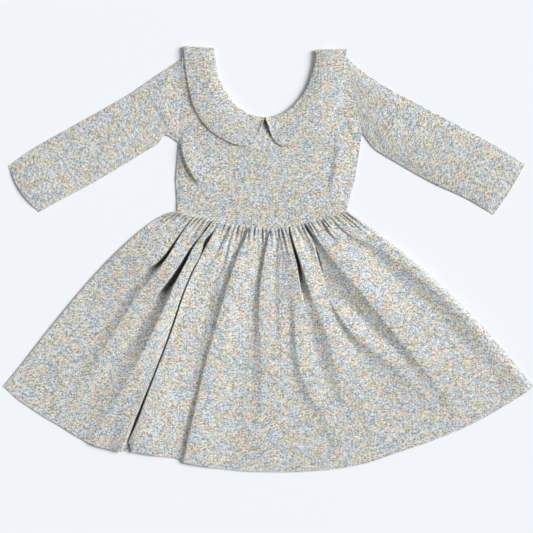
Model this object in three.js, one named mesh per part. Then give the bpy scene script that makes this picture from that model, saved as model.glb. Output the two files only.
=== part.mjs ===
// A child's twirl dress laid out flat: fitted bodice with a deep scoop neck, a two-leaf rounded collar,
// long straight sleeves and a full gathered skirt spread into a fan.
// Millimetres. X runs across the dress, Y from the hem up to the neck, Z up from the surface it lies on.
// Left and right are as seen from above with the neck at the top.
import * as THREE from "three";

// Cloth and the space kept between two pieces that touch.
const WALL = 1.2;
const SEAM_GAP = 0.3;
const STEEPEST = 2; // a wall's height is at most this many times its thickness, on the steepest flank
const LAYER = WALL + SEAM_GAP;

// Neck opening: half an ellipse, as deep at the back as at the front.
const NECK = { x: -5, y: 315.5, halfWidth: 75, depth: 102 };
const NECK_START = THREE.MathUtils.degToRad(3); // the shoulder seam, a little below the ellipse's own top

// Bodice: shoulder tips, underarms and waist corners.
const SHOULDER_TIP = { left: [-129, 302], right: [118.5, 302.5] };
const UNDERARM = { left: [-134.5, 175], right: [140.5, 189.5] };
const SIDE_BEND = { left: [-138.5, 122], right: [130.5, 122] };
const WAIST = { left: [-140, 71], right: [121, 71], sag: 23.5, skew: 1.15, round: 1.3 };
const CORNER_INSET = 4.5; // how far the bodice's waist corners stand inside the skirt's
const BODICE_LOFT = 2.6; // how high the front stands off the back in the middle
const BODICE_RISE = { sides: 60, waist: 40, neck: 30 }; // distances over which it gets there

// Skirt: the hem is an arc, its sides bow outwards.
const HEM = { x: 0, y: 359, radius: 677.5, halfAngle: THREE.MathUtils.degToRad(35.9) };
const SIDE_BOW = {
  left: { size: 68, rise: 0.6, fall: 1.3, along: [-0.7, 0.71] },
  right: { size: 60, rise: 1, fall: 1, along: [0.69, 0.72] },
};
const BOW_REACH = 2.5;
const BACK_INSET = 2; // the back's hem stops this short of the front's
const SIDE_FADE = { folds: 0.05, gathers: 0.01 }; // shares across over which they fade out at the sides

// How high the front stands off the back between its folds.
const SKIRT_LOFT = [
  { down: 0, height: 0 },
  { down: 0.12, height: 3.4 },
  { down: 0.4, height: 3.8 },
  { down: 0.75, height: 2.4 },
  { down: 0.96, height: 1 },
  { down: 1, height: 0.8 },
];

// The hem's own line: how far it stands beyond the arc at a share of the way across.
const HEM_LINE = [
  { across: 0, beyond: 0 },
  { across: 0.04, beyond: 4 },
  { across: 0.11, beyond: 6 },
  { across: 0.19, beyond: 11 },
  { across: 0.235, beyond: 7 },
  { across: 0.27, beyond: -1 },
  { across: 0.335, beyond: -6 },
  { across: 0.352, beyond: -2 },
  { across: 0.48, beyond: 0 },
  { across: 0.66, beyond: 3 },
  { across: 0.74, beyond: -1 },
  { across: 0.9, beyond: 1 },
  { across: 1, beyond: 1 },
];
const HEM_NOTCH = { across: 0.247, wide: 0.009, deep: 16 };

// Gathers at the waist seam, one ridge each.
const GATHERS = 42;
const GATHER = { start: 0.7, front: 2.3, back: 1.4, peakAt: 0.03, gone: 0.115 };

// The skirt's largest folds. Seen across, a fold is a groove, a steep flank up to its crest on the right
// of its line, and a gentle fall beyond. A shoulder is a second, lower crest on the groove's other side.
// at is the line's place across the skirt, rise its crest's height and shoulder the shoulder's share of
// it, each at the stations DOWN. steep, gentle and groove are widths, slit is how far the groove keeps
// from the flank, and sunk is the groove's depth as a share of the rise. A flap is turned the other way.
const DOWN = [0.03, 0.1, 0.2, 0.3, 0.4, 0.5, 0.6, 0.8, 1];
const NO_SHOULDER = DOWN.map(() => 0);
const FOLDS = [
  {
    name: "left edge", steep: 8, gentle: 26, groove: 10, sunk: 0.2, slit: 6,
    at: [0.065, 0.057, 0.02, 0.01, 0.01, 0.01, 0.01, 0.01, 0.01],
    rise: [2, 3, 3, 2, 0, 0, 0, 0, 0],
    shoulder: NO_SHOULDER,
  },
  {
    name: "left second", steep: 7, gentle: 38, groove: 20, sunk: 0.4, slit: 7,
    at: [0.136, 0.138, 0.145, 0.131, 0.125, 0.12, 0.123, 0.123, 0.123],
    rise: [3, 4, 13, 9, 5, 4, 3, 1.5, 1],
    shoulder: [0.4, 0.6, 1, 0.45, 0.1, 0, 0, 0, 0],
  },
  {
    name: "left deepest", steep: 7, gentle: 42, groove: 26, sunk: 0.4, slit: 9,
    at: [0.227, 0.217, 0.213, 0.208, 0.198, 0.188, 0.185, 0.186, 0.172],
    rise: [3, 4, 14, 14, 11, 8, 6, 4, 4],
    shoulder: [0.3, 0.6, 1, 0.85, 0.5, 0.2, 0, 0, 0],
  },
  {
    name: "left flap", steep: 6, gentle: 36, groove: 14, sunk: 0.3, slit: 6, flap: true,
    at: [0.266, 0.257, 0.252, 0.25, 0.25, 0.253, 0.252, 0.246, 0.242],
    rise: [3, 9, 6, 5, 5, 6, 6, 8, 10],
    shoulder: [0.3, 0.8, 0.7, 0.8, 0.9, 0.9, 0.9, 0.9, 0.9],
  },
  {
    name: "short inner", steep: 7, gentle: 20, groove: 10, sunk: 0.3, slit: 6,
    at: [0.326, 0.318, 0.305, 0.292, 0.29, 0.29, 0.29, 0.29, 0.29],
    rise: [4, 4.5, 2.5, 1.5, 0, 0, 0, 0, 0],
    shoulder: NO_SHOULDER,
  },
  {
    name: "short outer", steep: 7, gentle: 20, groove: 10, sunk: 0.3, slit: 6,
    at: [0.36, 0.355, 0.353, 0.345, 0.34, 0.34, 0.34, 0.34, 0.34],
    rise: [0.5, 3, 3.5, 1, 0, 0, 0, 0, 0],
    shoulder: NO_SHOULDER,
  },
  {
    name: "left of centre", steep: 8, gentle: 46, groove: 24, sunk: 0.3, slit: 8,
    at: [0.432, 0.402, 0.381, 0.37, 0.365, 0.354, 0.35, 0.344, 0.343],
    rise: [4, 6, 6, 6, 5, 5.5, 6, 6, 6],
    shoulder: [0.5, 0.4, 0.2, 0.2, 0.1, 0.1, 0.1, 0.1, 0.1],
  },
  {
    name: "centre", steep: 8, gentle: 42, groove: 20, sunk: 0.3, slit: 8,
    at: [0.545, 0.512, 0.493, 0.48, 0.475, 0.476, 0.49, 0.495, 0.495],
    rise: [4, 7, 7, 5, 4, 3, 3, 1, 0],
    shoulder: [0.5, 0.5, 0.3, 0.1, 0, 0, 0, 0, 0],
  },
  {
    name: "centre faint", steep: 9, gentle: 18, groove: 18, sunk: 0.3, slit: 6,
    at: [0.575, 0.565, 0.561, 0.55, 0.54, 0.53, 0.53, 0.555, 0.56],
    rise: [2, 2, 2.5, 2, 1.5, 1, 0.5, 1.5, 1],
    shoulder: NO_SHOULDER,
  },
  {
    name: "right of centre", steep: 8, gentle: 34, groove: 18, sunk: 0.3, slit: 6,
    at: [0.612, 0.613, 0.61, 0.592, 0.583, 0.576, 0.577, 0.6, 0.6],
    rise: [5, 4, 2, 2, 3, 2.5, 3.5, 1.5, 1.5],
    shoulder: [0.6, 0.4, 0, 0, 0, 0, 0, 0, 0],
  },
  {
    name: "right major", steep: 8, gentle: 36, groove: 22, sunk: 0.35, slit: 8,
    at: [0.657, 0.652, 0.648, 0.648, 0.645, 0.643, 0.638, 0.672, 0.7],
    rise: [5, 8, 10, 6, 4, 3, 2.5, 2.5, 2.5],
    shoulder: [0.6, 0.6, 0.6, 0.2, 0, 0, 0, 0, 0],
  },
  {
    name: "right faint", steep: 8, gentle: 22, groove: 14, sunk: 0.3, slit: 6,
    at: [0.73, 0.728, 0.725, 0.724, 0.714, 0.719, 0.71, 0.71, 0.71],
    rise: [0, 1, 3, 2.5, 3.5, 4, 2.5, 0.5, 0],
    shoulder: NO_SHOULDER,
  },
  {
    name: "right deepest", steep: 11, gentle: 50, groove: 34, sunk: 0.35, slit: 12,
    at: [0.755, 0.757, 0.769, 0.776, 0.79, 0.8, 0.82, 0.84, 0.85],
    rise: [6, 10, 8, 7, 6, 5, 5, 2, 1],
    shoulder: [0.6, 0.4, 0.1, 0, 0, 0, 0, 0, 0],
  },
  {
    name: "right upper", steep: 8, gentle: 26, groove: 14, sunk: 0.3, slit: 6,
    at: [0.83, 0.832, 0.86, 0.89, 0.9, 0.9, 0.9, 0.9, 0.9],
    rise: [3, 3.5, 3, 0, 0, 0, 0, 0, 0],
    shoulder: NO_SHOULDER,
  },
  {
    name: "right edge", steep: 11, gentle: 30, groove: 22, sunk: 0.3, slit: 6,
    at: [0.889, 0.9, 0.93, 0.945, 0.955, 0.96, 0.95, 0.96, 0.96],
    rise: [0.5, 2.5, 3, 4, 4, 3.5, 4, 4, 4],
    shoulder: NO_SHOULDER,
  },
];
const FOLD_GROWTH = { start: 0.35, full: 0.22 }; // a fold's share of its full width, and where it has it
const CREST_OFFSET = 2.5; // the crest stands this far beside the fold's line
const LOWEST = 0.8; // how softly a groove bottoms out on the back panel
const OVERLAP = 3; // where two folds meet, the higher one counts; a sharper turn with a larger number
const CROWD = { reach: 0.015, extra: 1.6, from: 0.1, full: 0.3 }; // columns crowd together near the folds

// Collar leaf's outer edge, from its rounded front end to the shoulder, away from the neck's centre line.
const LEAF_EDGE = [
  { out: 1.2, y: 211 },
  { out: 7.2, y: 194 },
  { out: 11.6, y: 180.5 },
  { out: 21, y: 171.2 },
  { out: 34.5, y: 169 },
  { out: 52, y: 174 },
  { out: 74, y: 186 },
  { out: 93, y: 204 },
  { out: 107, y: 228 },
  { out: 115, y: 258 },
  { out: 120.5, y: 291 },
];
// Where each of those rows starts at the neck, in degrees round it from centre front.
const LEAF_NECK_TURNS = [0, 5, 10, 15, 22, 32, 43, 54, 65, 75, 84];
const LEAF_INSET = 0.6; // how far a leaf starts outside the neck seam
const SHOULDER_FOLD = {
  left: { neck: [-80, 316.8], outer: [-127, 320] },
  right: { neck: [70.5, 314.5], outer: [117.8, 315.5] },
};
const COLLAR_BACK = { width: 40, start: THREE.MathUtils.degToRad(82) };
const COLLAR_ROLL = 0.9; // the leaf's fullness beside the neck seam
const COLLAR_STAND = { height: 3.5, gone: 0.22 }; // how the leaves' front ends stand up off the bodice
const LEAF_GAP = 0.8; // what the leaf keeps clear of the bodice under it
// The collar's back half lies under the back bodice, and lifts it by a layer out to this distance.
const LIFT_ENDS = { full: 48, gone: 62 };

// Sleeves: the top and the lower edge of each section, from the armhole to the cuff.
const SLEEVE_SECTIONS = {
  left: [
    { top: [-129.4, 301.4], low: [-135, 175.4] },
    { top: [-150, 288], low: [-154, 186] },
    { top: [-176, 270.5], low: [-166, 173] },
    { top: [-208, 248.5], low: [-180, 164.5] },
    { top: [-237, 231.5], low: [-200, 152] },
    { top: [-300.5, 196], low: [-256, 118.5] },
    { top: [-351.5, 167], low: [-305, 92.3] },
    { top: [-389.6, 140.5], low: [-343.8, 71.2] },
  ],
  right: [
    { top: [118.9, 302], low: [141.1, 189.7] },
    { top: [133, 289], low: [149, 178] },
    { top: [153, 274], low: [159.5, 165.5] },
    { top: [186, 253.5], low: [172, 157] },
    { top: [226.5, 232], low: [195, 143.5] },
    { top: [290.4, 198.6], low: [247, 114.2] },
    { top: [341.6, 170.2], low: [296, 92] },
    { top: [384.6, 143], low: [337.7, 67.5] },
  ],
};
const SLEEVE_LOFT = { height: 4.2, start: -0.03, full: 0.35, cuff: 0.6 }; // shares are along the sleeve
const EDGE_REACH = 12; // creases fade out over this distance from an edge
const RIM = { round: 0.9, flat: 4, fullness: 0.85 }; // a pressed tube's rounded edge
const CUFF_BOW = { left: 5.5, right: 2, from: 0.8 };

// Creases that show on the bodice and the sleeves: soft ridges, steep on the left of their line.
const CREASES = [
  { name: "left underarm lap", from: [-134, 180], to: [-104, 110], bow: -6, rise: 5, steep: 4, gentle: 34 },
  { name: "right side drag", from: [102, 200], to: [86, 84], bow: 4, rise: 2.6, steep: 9, gentle: 30 },
  { name: "right armhole", from: [117, 212], to: [128, 184], bow: 0, rise: 1.6, steep: 6, gentle: 14 },
  { name: "left sleeve pull", from: [-178, 236], to: [-150, 196], bow: 3, rise: 1.8, steep: 8, gentle: 20 },
  { name: "right sleeve pull", from: [190, 214], to: [158, 186], bow: 3, rise: 1.8, steep: 8, gentle: 20 },
];

// How finely each piece is divided.
const FINE = {
  gatherRows: [0, 0.015, 0.04, 0.08],
  foldRows: [0.12, 0.17, 0.23, 0.3, 0.38, 0.47, 0.57, 0.68, 0.79, 0.9, 1],
  gatherColumns: GATHERS * 4,
  foldColumns: 120,
  backGatherRows: [0, 0.02, 0.05, 0.09],
  backRows: [0.2, 0.4, 0.6, 0.8, 1],
  armhole: 6,
  side: 6,
  waist: 22,
  bodiceRows: 7,
  leafColumns: 16,
  collarRows: 6,
  bendSteps: 4,
  collarBackColumns: 10,
  sleeveSections: 13,
  sleeveAcross: 8,
};

// Curves and blends.
const clamp01 = (t) => Math.min(Math.max(t, 0), 1);
const mix = (a, b, t) => a + (b - a) * t;
const mixPoint = (a, b, t) => a.map((v, i) => mix(v, b[i], t));
const smooth = (low, high, x) => {
  const t = clamp01((x - low) / (high - low));
  return t * t * (3 - 2 * t);
};

// A table's value at x, smooth between its rows.
function readTable(xs, ys, x) {
  const i = xs.findIndex((v) => v >= x);
  if (i < 0) return ys[ys.length - 1];
  if (i === 0) return ys[0];
  return mix(ys[i - 1], ys[i], smooth(xs[i - 1], xs[i], x));
}

// Straight between rows, for the hem's line and the folds' paths.
function readLine(xs, ys, x) {
  const i = Math.min(Math.max(xs.findIndex((v) => v >= x), 1), xs.length - 1);
  return mix(ys[i - 1], ys[i], clamp01((x - xs[i - 1]) / (xs[i] - xs[i - 1])));
}

// A fold's cross-section at a signed distance from its line: a steep rise, then a gentle fall.
function foldShape(distance, steep, gentle) {
  const rise = smooth(-steep / 2, steep / 2, distance);
  return rise * (1 - smooth(steep / 2, steep / 2 + gentle, distance));
}

// Waist seam, as laid out: it sags towards the middle of the front.
function waistPoint(across) {
  const sag = Math.max(Math.sin(Math.PI * across ** WAIST.skew), 0) ** WAIST.round;
  const [x, y] = mixPoint(WAIST.left, WAIST.right, across);
  return [x, y - WAIST.sag * sag];
}

function hemPoint(across, beyond) {
  const angle = mix(-HEM.halfAngle, HEM.halfAngle, across);
  const reach = HEM.radius + beyond;
  return [HEM.x + reach * Math.sin(angle), HEM.y - reach * Math.cos(angle)];
}

const hemBeyond = (across) =>
  readTable(HEM_LINE.map((r) => r.across), HEM_LINE.map((r) => r.beyond), across);

const hemNotch = (across) =>
  HEM_NOTCH.deep * Math.max(1 - Math.abs(across - HEM_NOTCH.across) / HEM_NOTCH.wide, 0);

// Where a point of the skirt lies: across from 0 at the left to 1, down from 0 at the waist to 1.
function skirtPoint(across, down, beyond) {
  const [x, y] = mixPoint(waistPoint(across), hemPoint(across, beyond), down);
  const bow = (side, near) =>
    side.size * down ** side.rise * (1 - down) ** side.fall * near ** BOW_REACH;
  const left = bow(SIDE_BOW.left, 1 - across);
  const right = bow(SIDE_BOW.right, across);
  return [
    x + left * SIDE_BOW.left.along[0] + right * SIDE_BOW.right.along[0],
    y + left * SIDE_BOW.left.along[1] + right * SIDE_BOW.right.along[1],
  ];
}

// How much of a gather's height stands at a distance down from the waist.
function gatherSwell(down) {
  const grow = mix(GATHER.start / GATHER.front, 1, smooth(0, GATHER.peakAt, down));
  return grow * (1 - smooth(GATHER.peakAt, GATHER.gone, down));
}

const gatherWave = (across) => (1 - Math.cos(2 * Math.PI * GATHERS * across)) / 2;

// From 0 at both sides of the skirt to 1 inside them.
const betweenSides = (fade, across) => smooth(0, fade, across) * smooth(0, fade, 1 - across);

// A skirt fold's height over its rise, at a signed distance from its flank.
function foldSection(distance, growth, shoulder, fold) {
  const widths = [fold.steep, fold.gentle, fold.groove, fold.slit];
  const [steep, gentle, groove, slit] = widths.map((width) => width * growth);
  const up = smooth(-steep / 2, steep / 2, distance);
  const fall = 1 - smooth(steep / 2, steep / 2 + gentle, distance);
  const beside = -distance - steep / 2 - slit;
  const sink = 1 - smooth(0, groove, beside);
  const lip = shoulder * smooth(-steep / 2, steep / 2, beside) * sink;
  return up * fall - fold.sunk * sink * (1 - up) * (1 - shoulder) + lip;
}

// The skirt front's lower surface.
function skirtHeight(across, down) {
  const width = skirtPoint(1, down, 0)[0] - skirtPoint(0, down, 0)[0];
  const growth = mix(FOLD_GROWTH.start, 1, smooth(0, FOLD_GROWTH.full, down));
  const loft = readTable(SKIRT_LOFT.map((r) => r.down), SKIRT_LOFT.map((r) => r.height), down);
  let [above, below] = [0, 0];
  for (const fold of FOLDS) {
    const side = fold.flap ? -1 : 1;
    const rise = readTable(DOWN, fold.rise, down) * smooth(0, DOWN[0], down);
    const beside = side * (across - readLine(DOWN, fold.at, down)) * width - CREST_OFFSET * growth;
    const stand = rise * foldSection(beside, growth, readTable(DOWN, fold.shoulder, down), fold);
    if (stand > 0) above += stand ** OVERLAP;
    else below += stand;
  }
  const sum = loft + above ** (1 / OVERLAP) + below;
  const height = (sum + Math.hypot(sum, LOWEST)) / 2;
  const swell = gatherSwell(down);
  const gathers = GATHER.front * swell * gatherWave(across) + GATHER.back * swell;
  const inside = (fade) => betweenSides(fade, across);
  return LAYER + inside(SIDE_FADE.gathers) * gathers + inside(SIDE_FADE.folds) * height;
}

// The bodice: how far a point is from the neck seam, and how high the front lies there.
function neckDistance(x, y) {
  const reach = Math.hypot(x - NECK.x, y - NECK.y);
  const size = Math.hypot((x - NECK.x) / NECK.halfWidth, (y - NECK.y) / NECK.depth);
  return reach * (1 - 1 / Math.max(size, 0.5));
}

const collarLift = (x, y) => LAYER * (1 - smooth(LIFT_ENDS.full, LIFT_ENDS.gone, neckDistance(x, y)));

function creaseHeight(x, y) {
  let height = 0;
  for (const crease of CREASES) {
    const along = [crease.to[0] - crease.from[0], crease.to[1] - crease.from[1]];
    const length = Math.hypot(...along);
    const [ux, uy] = [along[0] / length, along[1] / length];
    const [dx, dy] = [x - crease.from[0], y - crease.from[1]];
    const t = (dx * ux + dy * uy) / length;
    if (t <= 0 || t >= 1) continue;
    const swell = Math.sin(Math.PI * t);
    const distance = -dx * uy + dy * ux - crease.bow * swell;
    height += crease.rise * Math.sqrt(swell) * foldShape(distance, crease.steep, crease.gentle);
  }
  return height;
}

function bodiceHeight(x, y) {
  const { sides, waist, neck } = BODICE_RISE;
  const middle = smooth(0, sides, x - SIDE_BEND.left[0]) * smooth(0, sides, SIDE_BEND.right[0] - x);
  const ends = smooth(0, waist, y - WAIST.left[1] + WAIST.sag) * smooth(0, neck, neckDistance(x, y));
  const fade = (distance) => smooth(0, EDGE_REACH, distance);
  const edge = fade(x - SIDE_BEND.left[0]) * fade(SIDE_BEND.right[0] + EDGE_REACH / 2 - x);
  return LAYER + collarLift(x, y) + BODICE_LOFT * middle * ends + edge * creaseHeight(x, y);
}

// Meshes. A cell is a pair of points, [under side, upper side], and a sheet is rows of cells.
class Mesh {
  constructor() {
    this.points = [];
    this.faces = [];
  }
  add(point) {
    return this.points.push(point) - 1;
  }
  quad(a, b, c, d) {
    this.faces.push([a, b, c], [a, c, d]);
  }
  // Joins two rows of any lengths, from the first corner to the last.
  zip(one, two, turned) {
    let [i, j] = [0, 0];
    while (i < one.length - 1 || j < two.length - 1) {
      const stepOne = (i + 0.5) / (one.length - 1);
      const stepTwo = (j + 0.5) / (two.length - 1);
      const moveOne = j === two.length - 1 || (i < one.length - 1 && stepOne <= stepTwo);
      const third = moveOne ? one[i + 1] : two[j + 1];
      this.faces.push(turned ? [two[j], one[i], third] : [one[i], two[j], third]);
      if (moveOne) i += 1;
      else j += 1;
    }
  }
  build(name, colour) {
    const geometry = new THREE.BufferGeometry();
    geometry.setAttribute("position", new THREE.Float32BufferAttribute(this.points.flat(), 3));
    geometry.setIndex(this.faces.flat());
    geometry.computeVertexNormals();
    const material = new THREE.MeshStandardMaterial({ color: colour, roughness: 0.95, metalness: 0 });
    const mesh = new THREE.Mesh(geometry, material);
    mesh.name = name;
    return mesh;
  }
}

// A wall from a sheet of cells. Rows run from the upper edge down, each from left to right.
function wall(name, colour, rows) {
  const mesh = new Mesh();
  const under = rows.map((row) => row.map((cell) => mesh.add(cell[0])));
  const upper = rows.map((row) => row.map((cell) => mesh.add(cell[1])));
  const last = rows.length - 1;
  for (let r = 0; r < last; r += 1) {
    mesh.zip(upper[r], upper[r + 1], false);
    mesh.zip(under[r], under[r + 1], true);
    mesh.quad(upper[r][0], under[r][0], under[r + 1][0], upper[r + 1][0]);
    const end = (side, row) => side[row][side[row].length - 1];
    mesh.quad(end(under, r), end(upper, r), end(upper, r + 1), end(under, r + 1));
  }
  for (let c = 0; c < rows[0].length - 1; c += 1)
    mesh.quad(under[0][c], upper[0][c], upper[0][c + 1], under[0][c + 1]);
  for (let c = 0; c < rows[last].length - 1; c += 1)
    mesh.quad(upper[last][c], under[last][c], under[last][c + 1], upper[last][c + 1]);
  return mesh.build(name, colour);
}

// Gives a sheet of [x, y, z] points its thickness, upwards, more on a steep flank.
function thicken(rows) {
  const slope = (a, b) => {
    const run = Math.hypot(b[0] - a[0], b[1] - a[1]);
    return run > 0 ? (b[2] - a[2]) / run : 0;
  };
  return rows.map((row, r) =>
    row.map((p, c) => {
      const across = slope(row[Math.max(c - 1, 0)], row[Math.min(c + 1, row.length - 1)]);
      const before = rows[Math.max(r - 1, 0)];
      const after = rows[Math.min(r + 1, rows.length - 1)];
      const level = before.length === after.length && before.length === row.length;
      const down = level ? slope(before[c], after[c]) : 0;
      const tall = WALL * Math.min(Math.hypot(1, across, down), STEEPEST);
      return [p, [p[0], p[1], p[2] + tall]];
    }),
  );
}

// Shares of the way across a panel, crowded together near the folds.
function crowdedShares(columns) {
  const steps = columns * 10;
  const centres = FOLDS.map((fold) => fold.at.reduce((sum, v) => sum + v) / fold.at.length);
  const near = (share, centre) => Math.exp(-(((share - centre) / CROWD.reach) ** 2));
  const density = (share) => 1 + CROWD.extra * centres.reduce((sum, centre) => sum + near(share, centre), 0);
  const shares = Array.from({ length: steps + 1 }, (_, i) => i / steps);
  const totals = [0];
  for (const share of shares.slice(1)) totals.push(totals[totals.length - 1] + density(share - 0.5 / steps));
  const whole = totals[steps];
  return Array.from({ length: columns + 1 }, (_, c) => readLine(totals, shares, (whole * c) / columns));
}

// Skirt panels.
function skirtRows(gatherRows, otherRows, gatherColumns, otherColumns, pointAt) {
  const row = (down, columns, shares) =>
    Array.from({ length: columns + 1 }, (_, c) => {
      const crowding = shares ? smooth(CROWD.from, CROWD.full, down) : 0;
      return pointAt(mix(c / columns, shares ? shares[c] : 0, crowding), down);
    });
  const shares = crowdedShares(otherColumns);
  return [
    ...gatherRows.map((down) => row(down, gatherColumns)),
    ...otherRows.map((down) => row(down, otherColumns, shares)),
  ];
}

function skirtFront(colour) {
  const pointAt = (across, down) => {
    const [x, y] = skirtPoint(across, down, hemBeyond(across) - hemNotch(across));
    return [x, y, skirtHeight(across, down)];
  };
  const { gatherRows, foldRows, gatherColumns, foldColumns } = FINE;
  const rows = skirtRows(gatherRows, foldRows, gatherColumns, foldColumns, pointAt);
  return wall("skirt_front", colour, thicken(rows));
}

function skirtBack(colour) {
  const pointAt = (across, down) => {
    const [x, y] = skirtPoint(across, down, hemBeyond(across) - BACK_INSET);
    return [x, y, GATHER.back * gatherSwell(down) * gatherWave(across)];
  };
  const rows = skirtRows(FINE.backGatherRows, FINE.backRows, GATHERS * 2, GATHERS, pointAt);
  return wall("skirt_back", colour, thicken(rows));
}

// Bodice panels: rows run round the neck like a horseshoe, from the neck seam out to the panel's edge.
function neckPoint(turn) {
  return [NECK.x - NECK.halfWidth * Math.cos(turn), NECK.y - NECK.depth * Math.sin(turn)];
}

function bodiceEdge() {
  const edge = [];
  const stretch = (from, to, count, pointAt) => {
    for (let i = 0; i < count; i += 1) edge.push(pointAt(i / count, from, to));
  };
  const cornerLeft = waistCorner(0);
  const cornerRight = waistCorner(1);
  const half = FINE.side / 2;
  stretch(SHOULDER_TIP.left, UNDERARM.left, FINE.armhole, (t, a, b) => mixPoint(a, b, t));
  stretch(UNDERARM.left, SIDE_BEND.left, half, (t, a, b) => mixPoint(a, b, t));
  stretch(SIDE_BEND.left, cornerLeft, half, (t, a, b) => mixPoint(a, b, t));
  stretch(0, 1, FINE.waist, (t) => waistCorner(t));
  stretch(cornerRight, SIDE_BEND.right, half, (t, a, b) => mixPoint(a, b, t));
  stretch(SIDE_BEND.right, UNDERARM.right, half, (t, a, b) => mixPoint(a, b, t));
  stretch(UNDERARM.right, SHOULDER_TIP.right, FINE.armhole, (t, a, b) => mixPoint(a, b, t));
  return [...edge, SHOULDER_TIP.right];
}

// The bodice's lower edge, a seam's gap above the skirt and a little narrower.
function waistCorner(t) {
  const [x, y] = waistPoint(t);
  return [x + CORNER_INSET * (1 - 2 * t), y + SEAM_GAP];
}

function bodiceRows(heightAt) {
  const edge = bodiceEdge();
  const last = edge.length - 1;
  const count = FINE.bodiceRows;
  return Array.from({ length: count + 1 }, (_, r) =>
    edge.map((outer, c) => {
      const inner = neckPoint(mix(NECK_START, Math.PI - NECK_START, c / last));
      const [x, y] = mixPoint(inner, outer, r / count);
      return [x, y, heightAt(x, y)];
    }),
  );
}

const bodiceFront = (colour) => wall("bodice_front", colour, thicken(bodiceRows(bodiceHeight)));

const bodiceBack = (colour) => wall("bodice_back", colour, thicken(bodiceRows(collarLift)));

// Collar half: a leaf on the front, rolled over the shoulder and on down the back, under the bodice.
function collar(name, colour, side) {
  const mirror = side === "left" ? -1 : 1;
  const fold = SHOULDER_FOLD[side];
  const edge = new THREE.SplineCurve(LEAF_EDGE.map((p) => new THREE.Vector2(NECK.x + mirror * p.out, p.y)));
  const turns = LEAF_NECK_TURNS.map((d) => THREE.MathUtils.degToRad(d));
  const rowShares = Array.from({ length: FINE.collarRows + 1 }, (_, r) => r / FINE.collarRows);
  const columns = [];

  const leafHeight = (x, y, share, stand) => {
    const roll = COLLAR_ROLL * Math.sin(Math.PI * Math.min(share * 2, 1));
    return bodiceHeight(x, y) + WALL + LEAF_GAP + roll + stand * Math.sin((Math.PI * share) / 2);
  };
  for (let c = 0; c <= FINE.leafColumns; c += 1) {
    const t = c / FINE.leafColumns;
    const turn = readLine(turns.map((_, i) => i / (turns.length - 1)), turns, t);
    const outer = edge.getPoint(t);
    const inner = [
      NECK.x + mirror * (NECK.halfWidth * Math.sin(turn) + LEAF_INSET),
      NECK.y - NECK.depth * Math.cos(turn),
    ];
    const stand = COLLAR_STAND.height * (1 - smooth(0, COLLAR_STAND.gone, t));
    columns.push(
      rowShares.map((share) => {
        const [x, y] = mixPoint(inner, [outer.x, outer.y], share);
        const z = leafHeight(x, y, share, stand);
        return [[x, y, z], [x, y, z + WALL]];
      }),
    );
  }

  for (let s = 0; s <= FINE.bendSteps; s += 1) {
    const angle = Math.PI * (s / FINE.bendSteps);
    columns.push(
      rowShares.map((share) => {
        const [x, y] = mixPoint(fold.neck, fold.outer, share);
        const height = leafHeight(x, y, share, 0);
        const outerRadius = (height + WALL) / 2;
        const innerRadius = (height - WALL) / 2;
        const at = (radius) => [
          x,
          y - outerRadius + radius * Math.sin(angle),
          outerRadius + radius * Math.cos(angle),
        ];
        return [at(innerRadius), at(outerRadius)];
      }),
    );
  }

  for (let c = 0; c <= FINE.collarBackColumns; c += 1) {
    const turn = COLLAR_BACK.start * (1 - c / FINE.collarBackColumns);
    const gap = c === FINE.collarBackColumns ? SEAM_GAP : 0;
    const at = (reach) => [
      NECK.x + mirror * ((NECK.halfWidth + reach) * Math.sin(turn) + gap + SEAM_GAP),
      NECK.y - (NECK.depth + reach) * Math.cos(turn),
    ];
    columns.push(
      rowShares.map((share) => {
        const [x, y] = at(COLLAR_BACK.width * share);
        return [[x, y, WALL], [x, y, 0]];
      }),
    );
  }
  if (side === "right") for (const column of columns) column.reverse();
  return wall(name, colour, columns);
}

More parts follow.
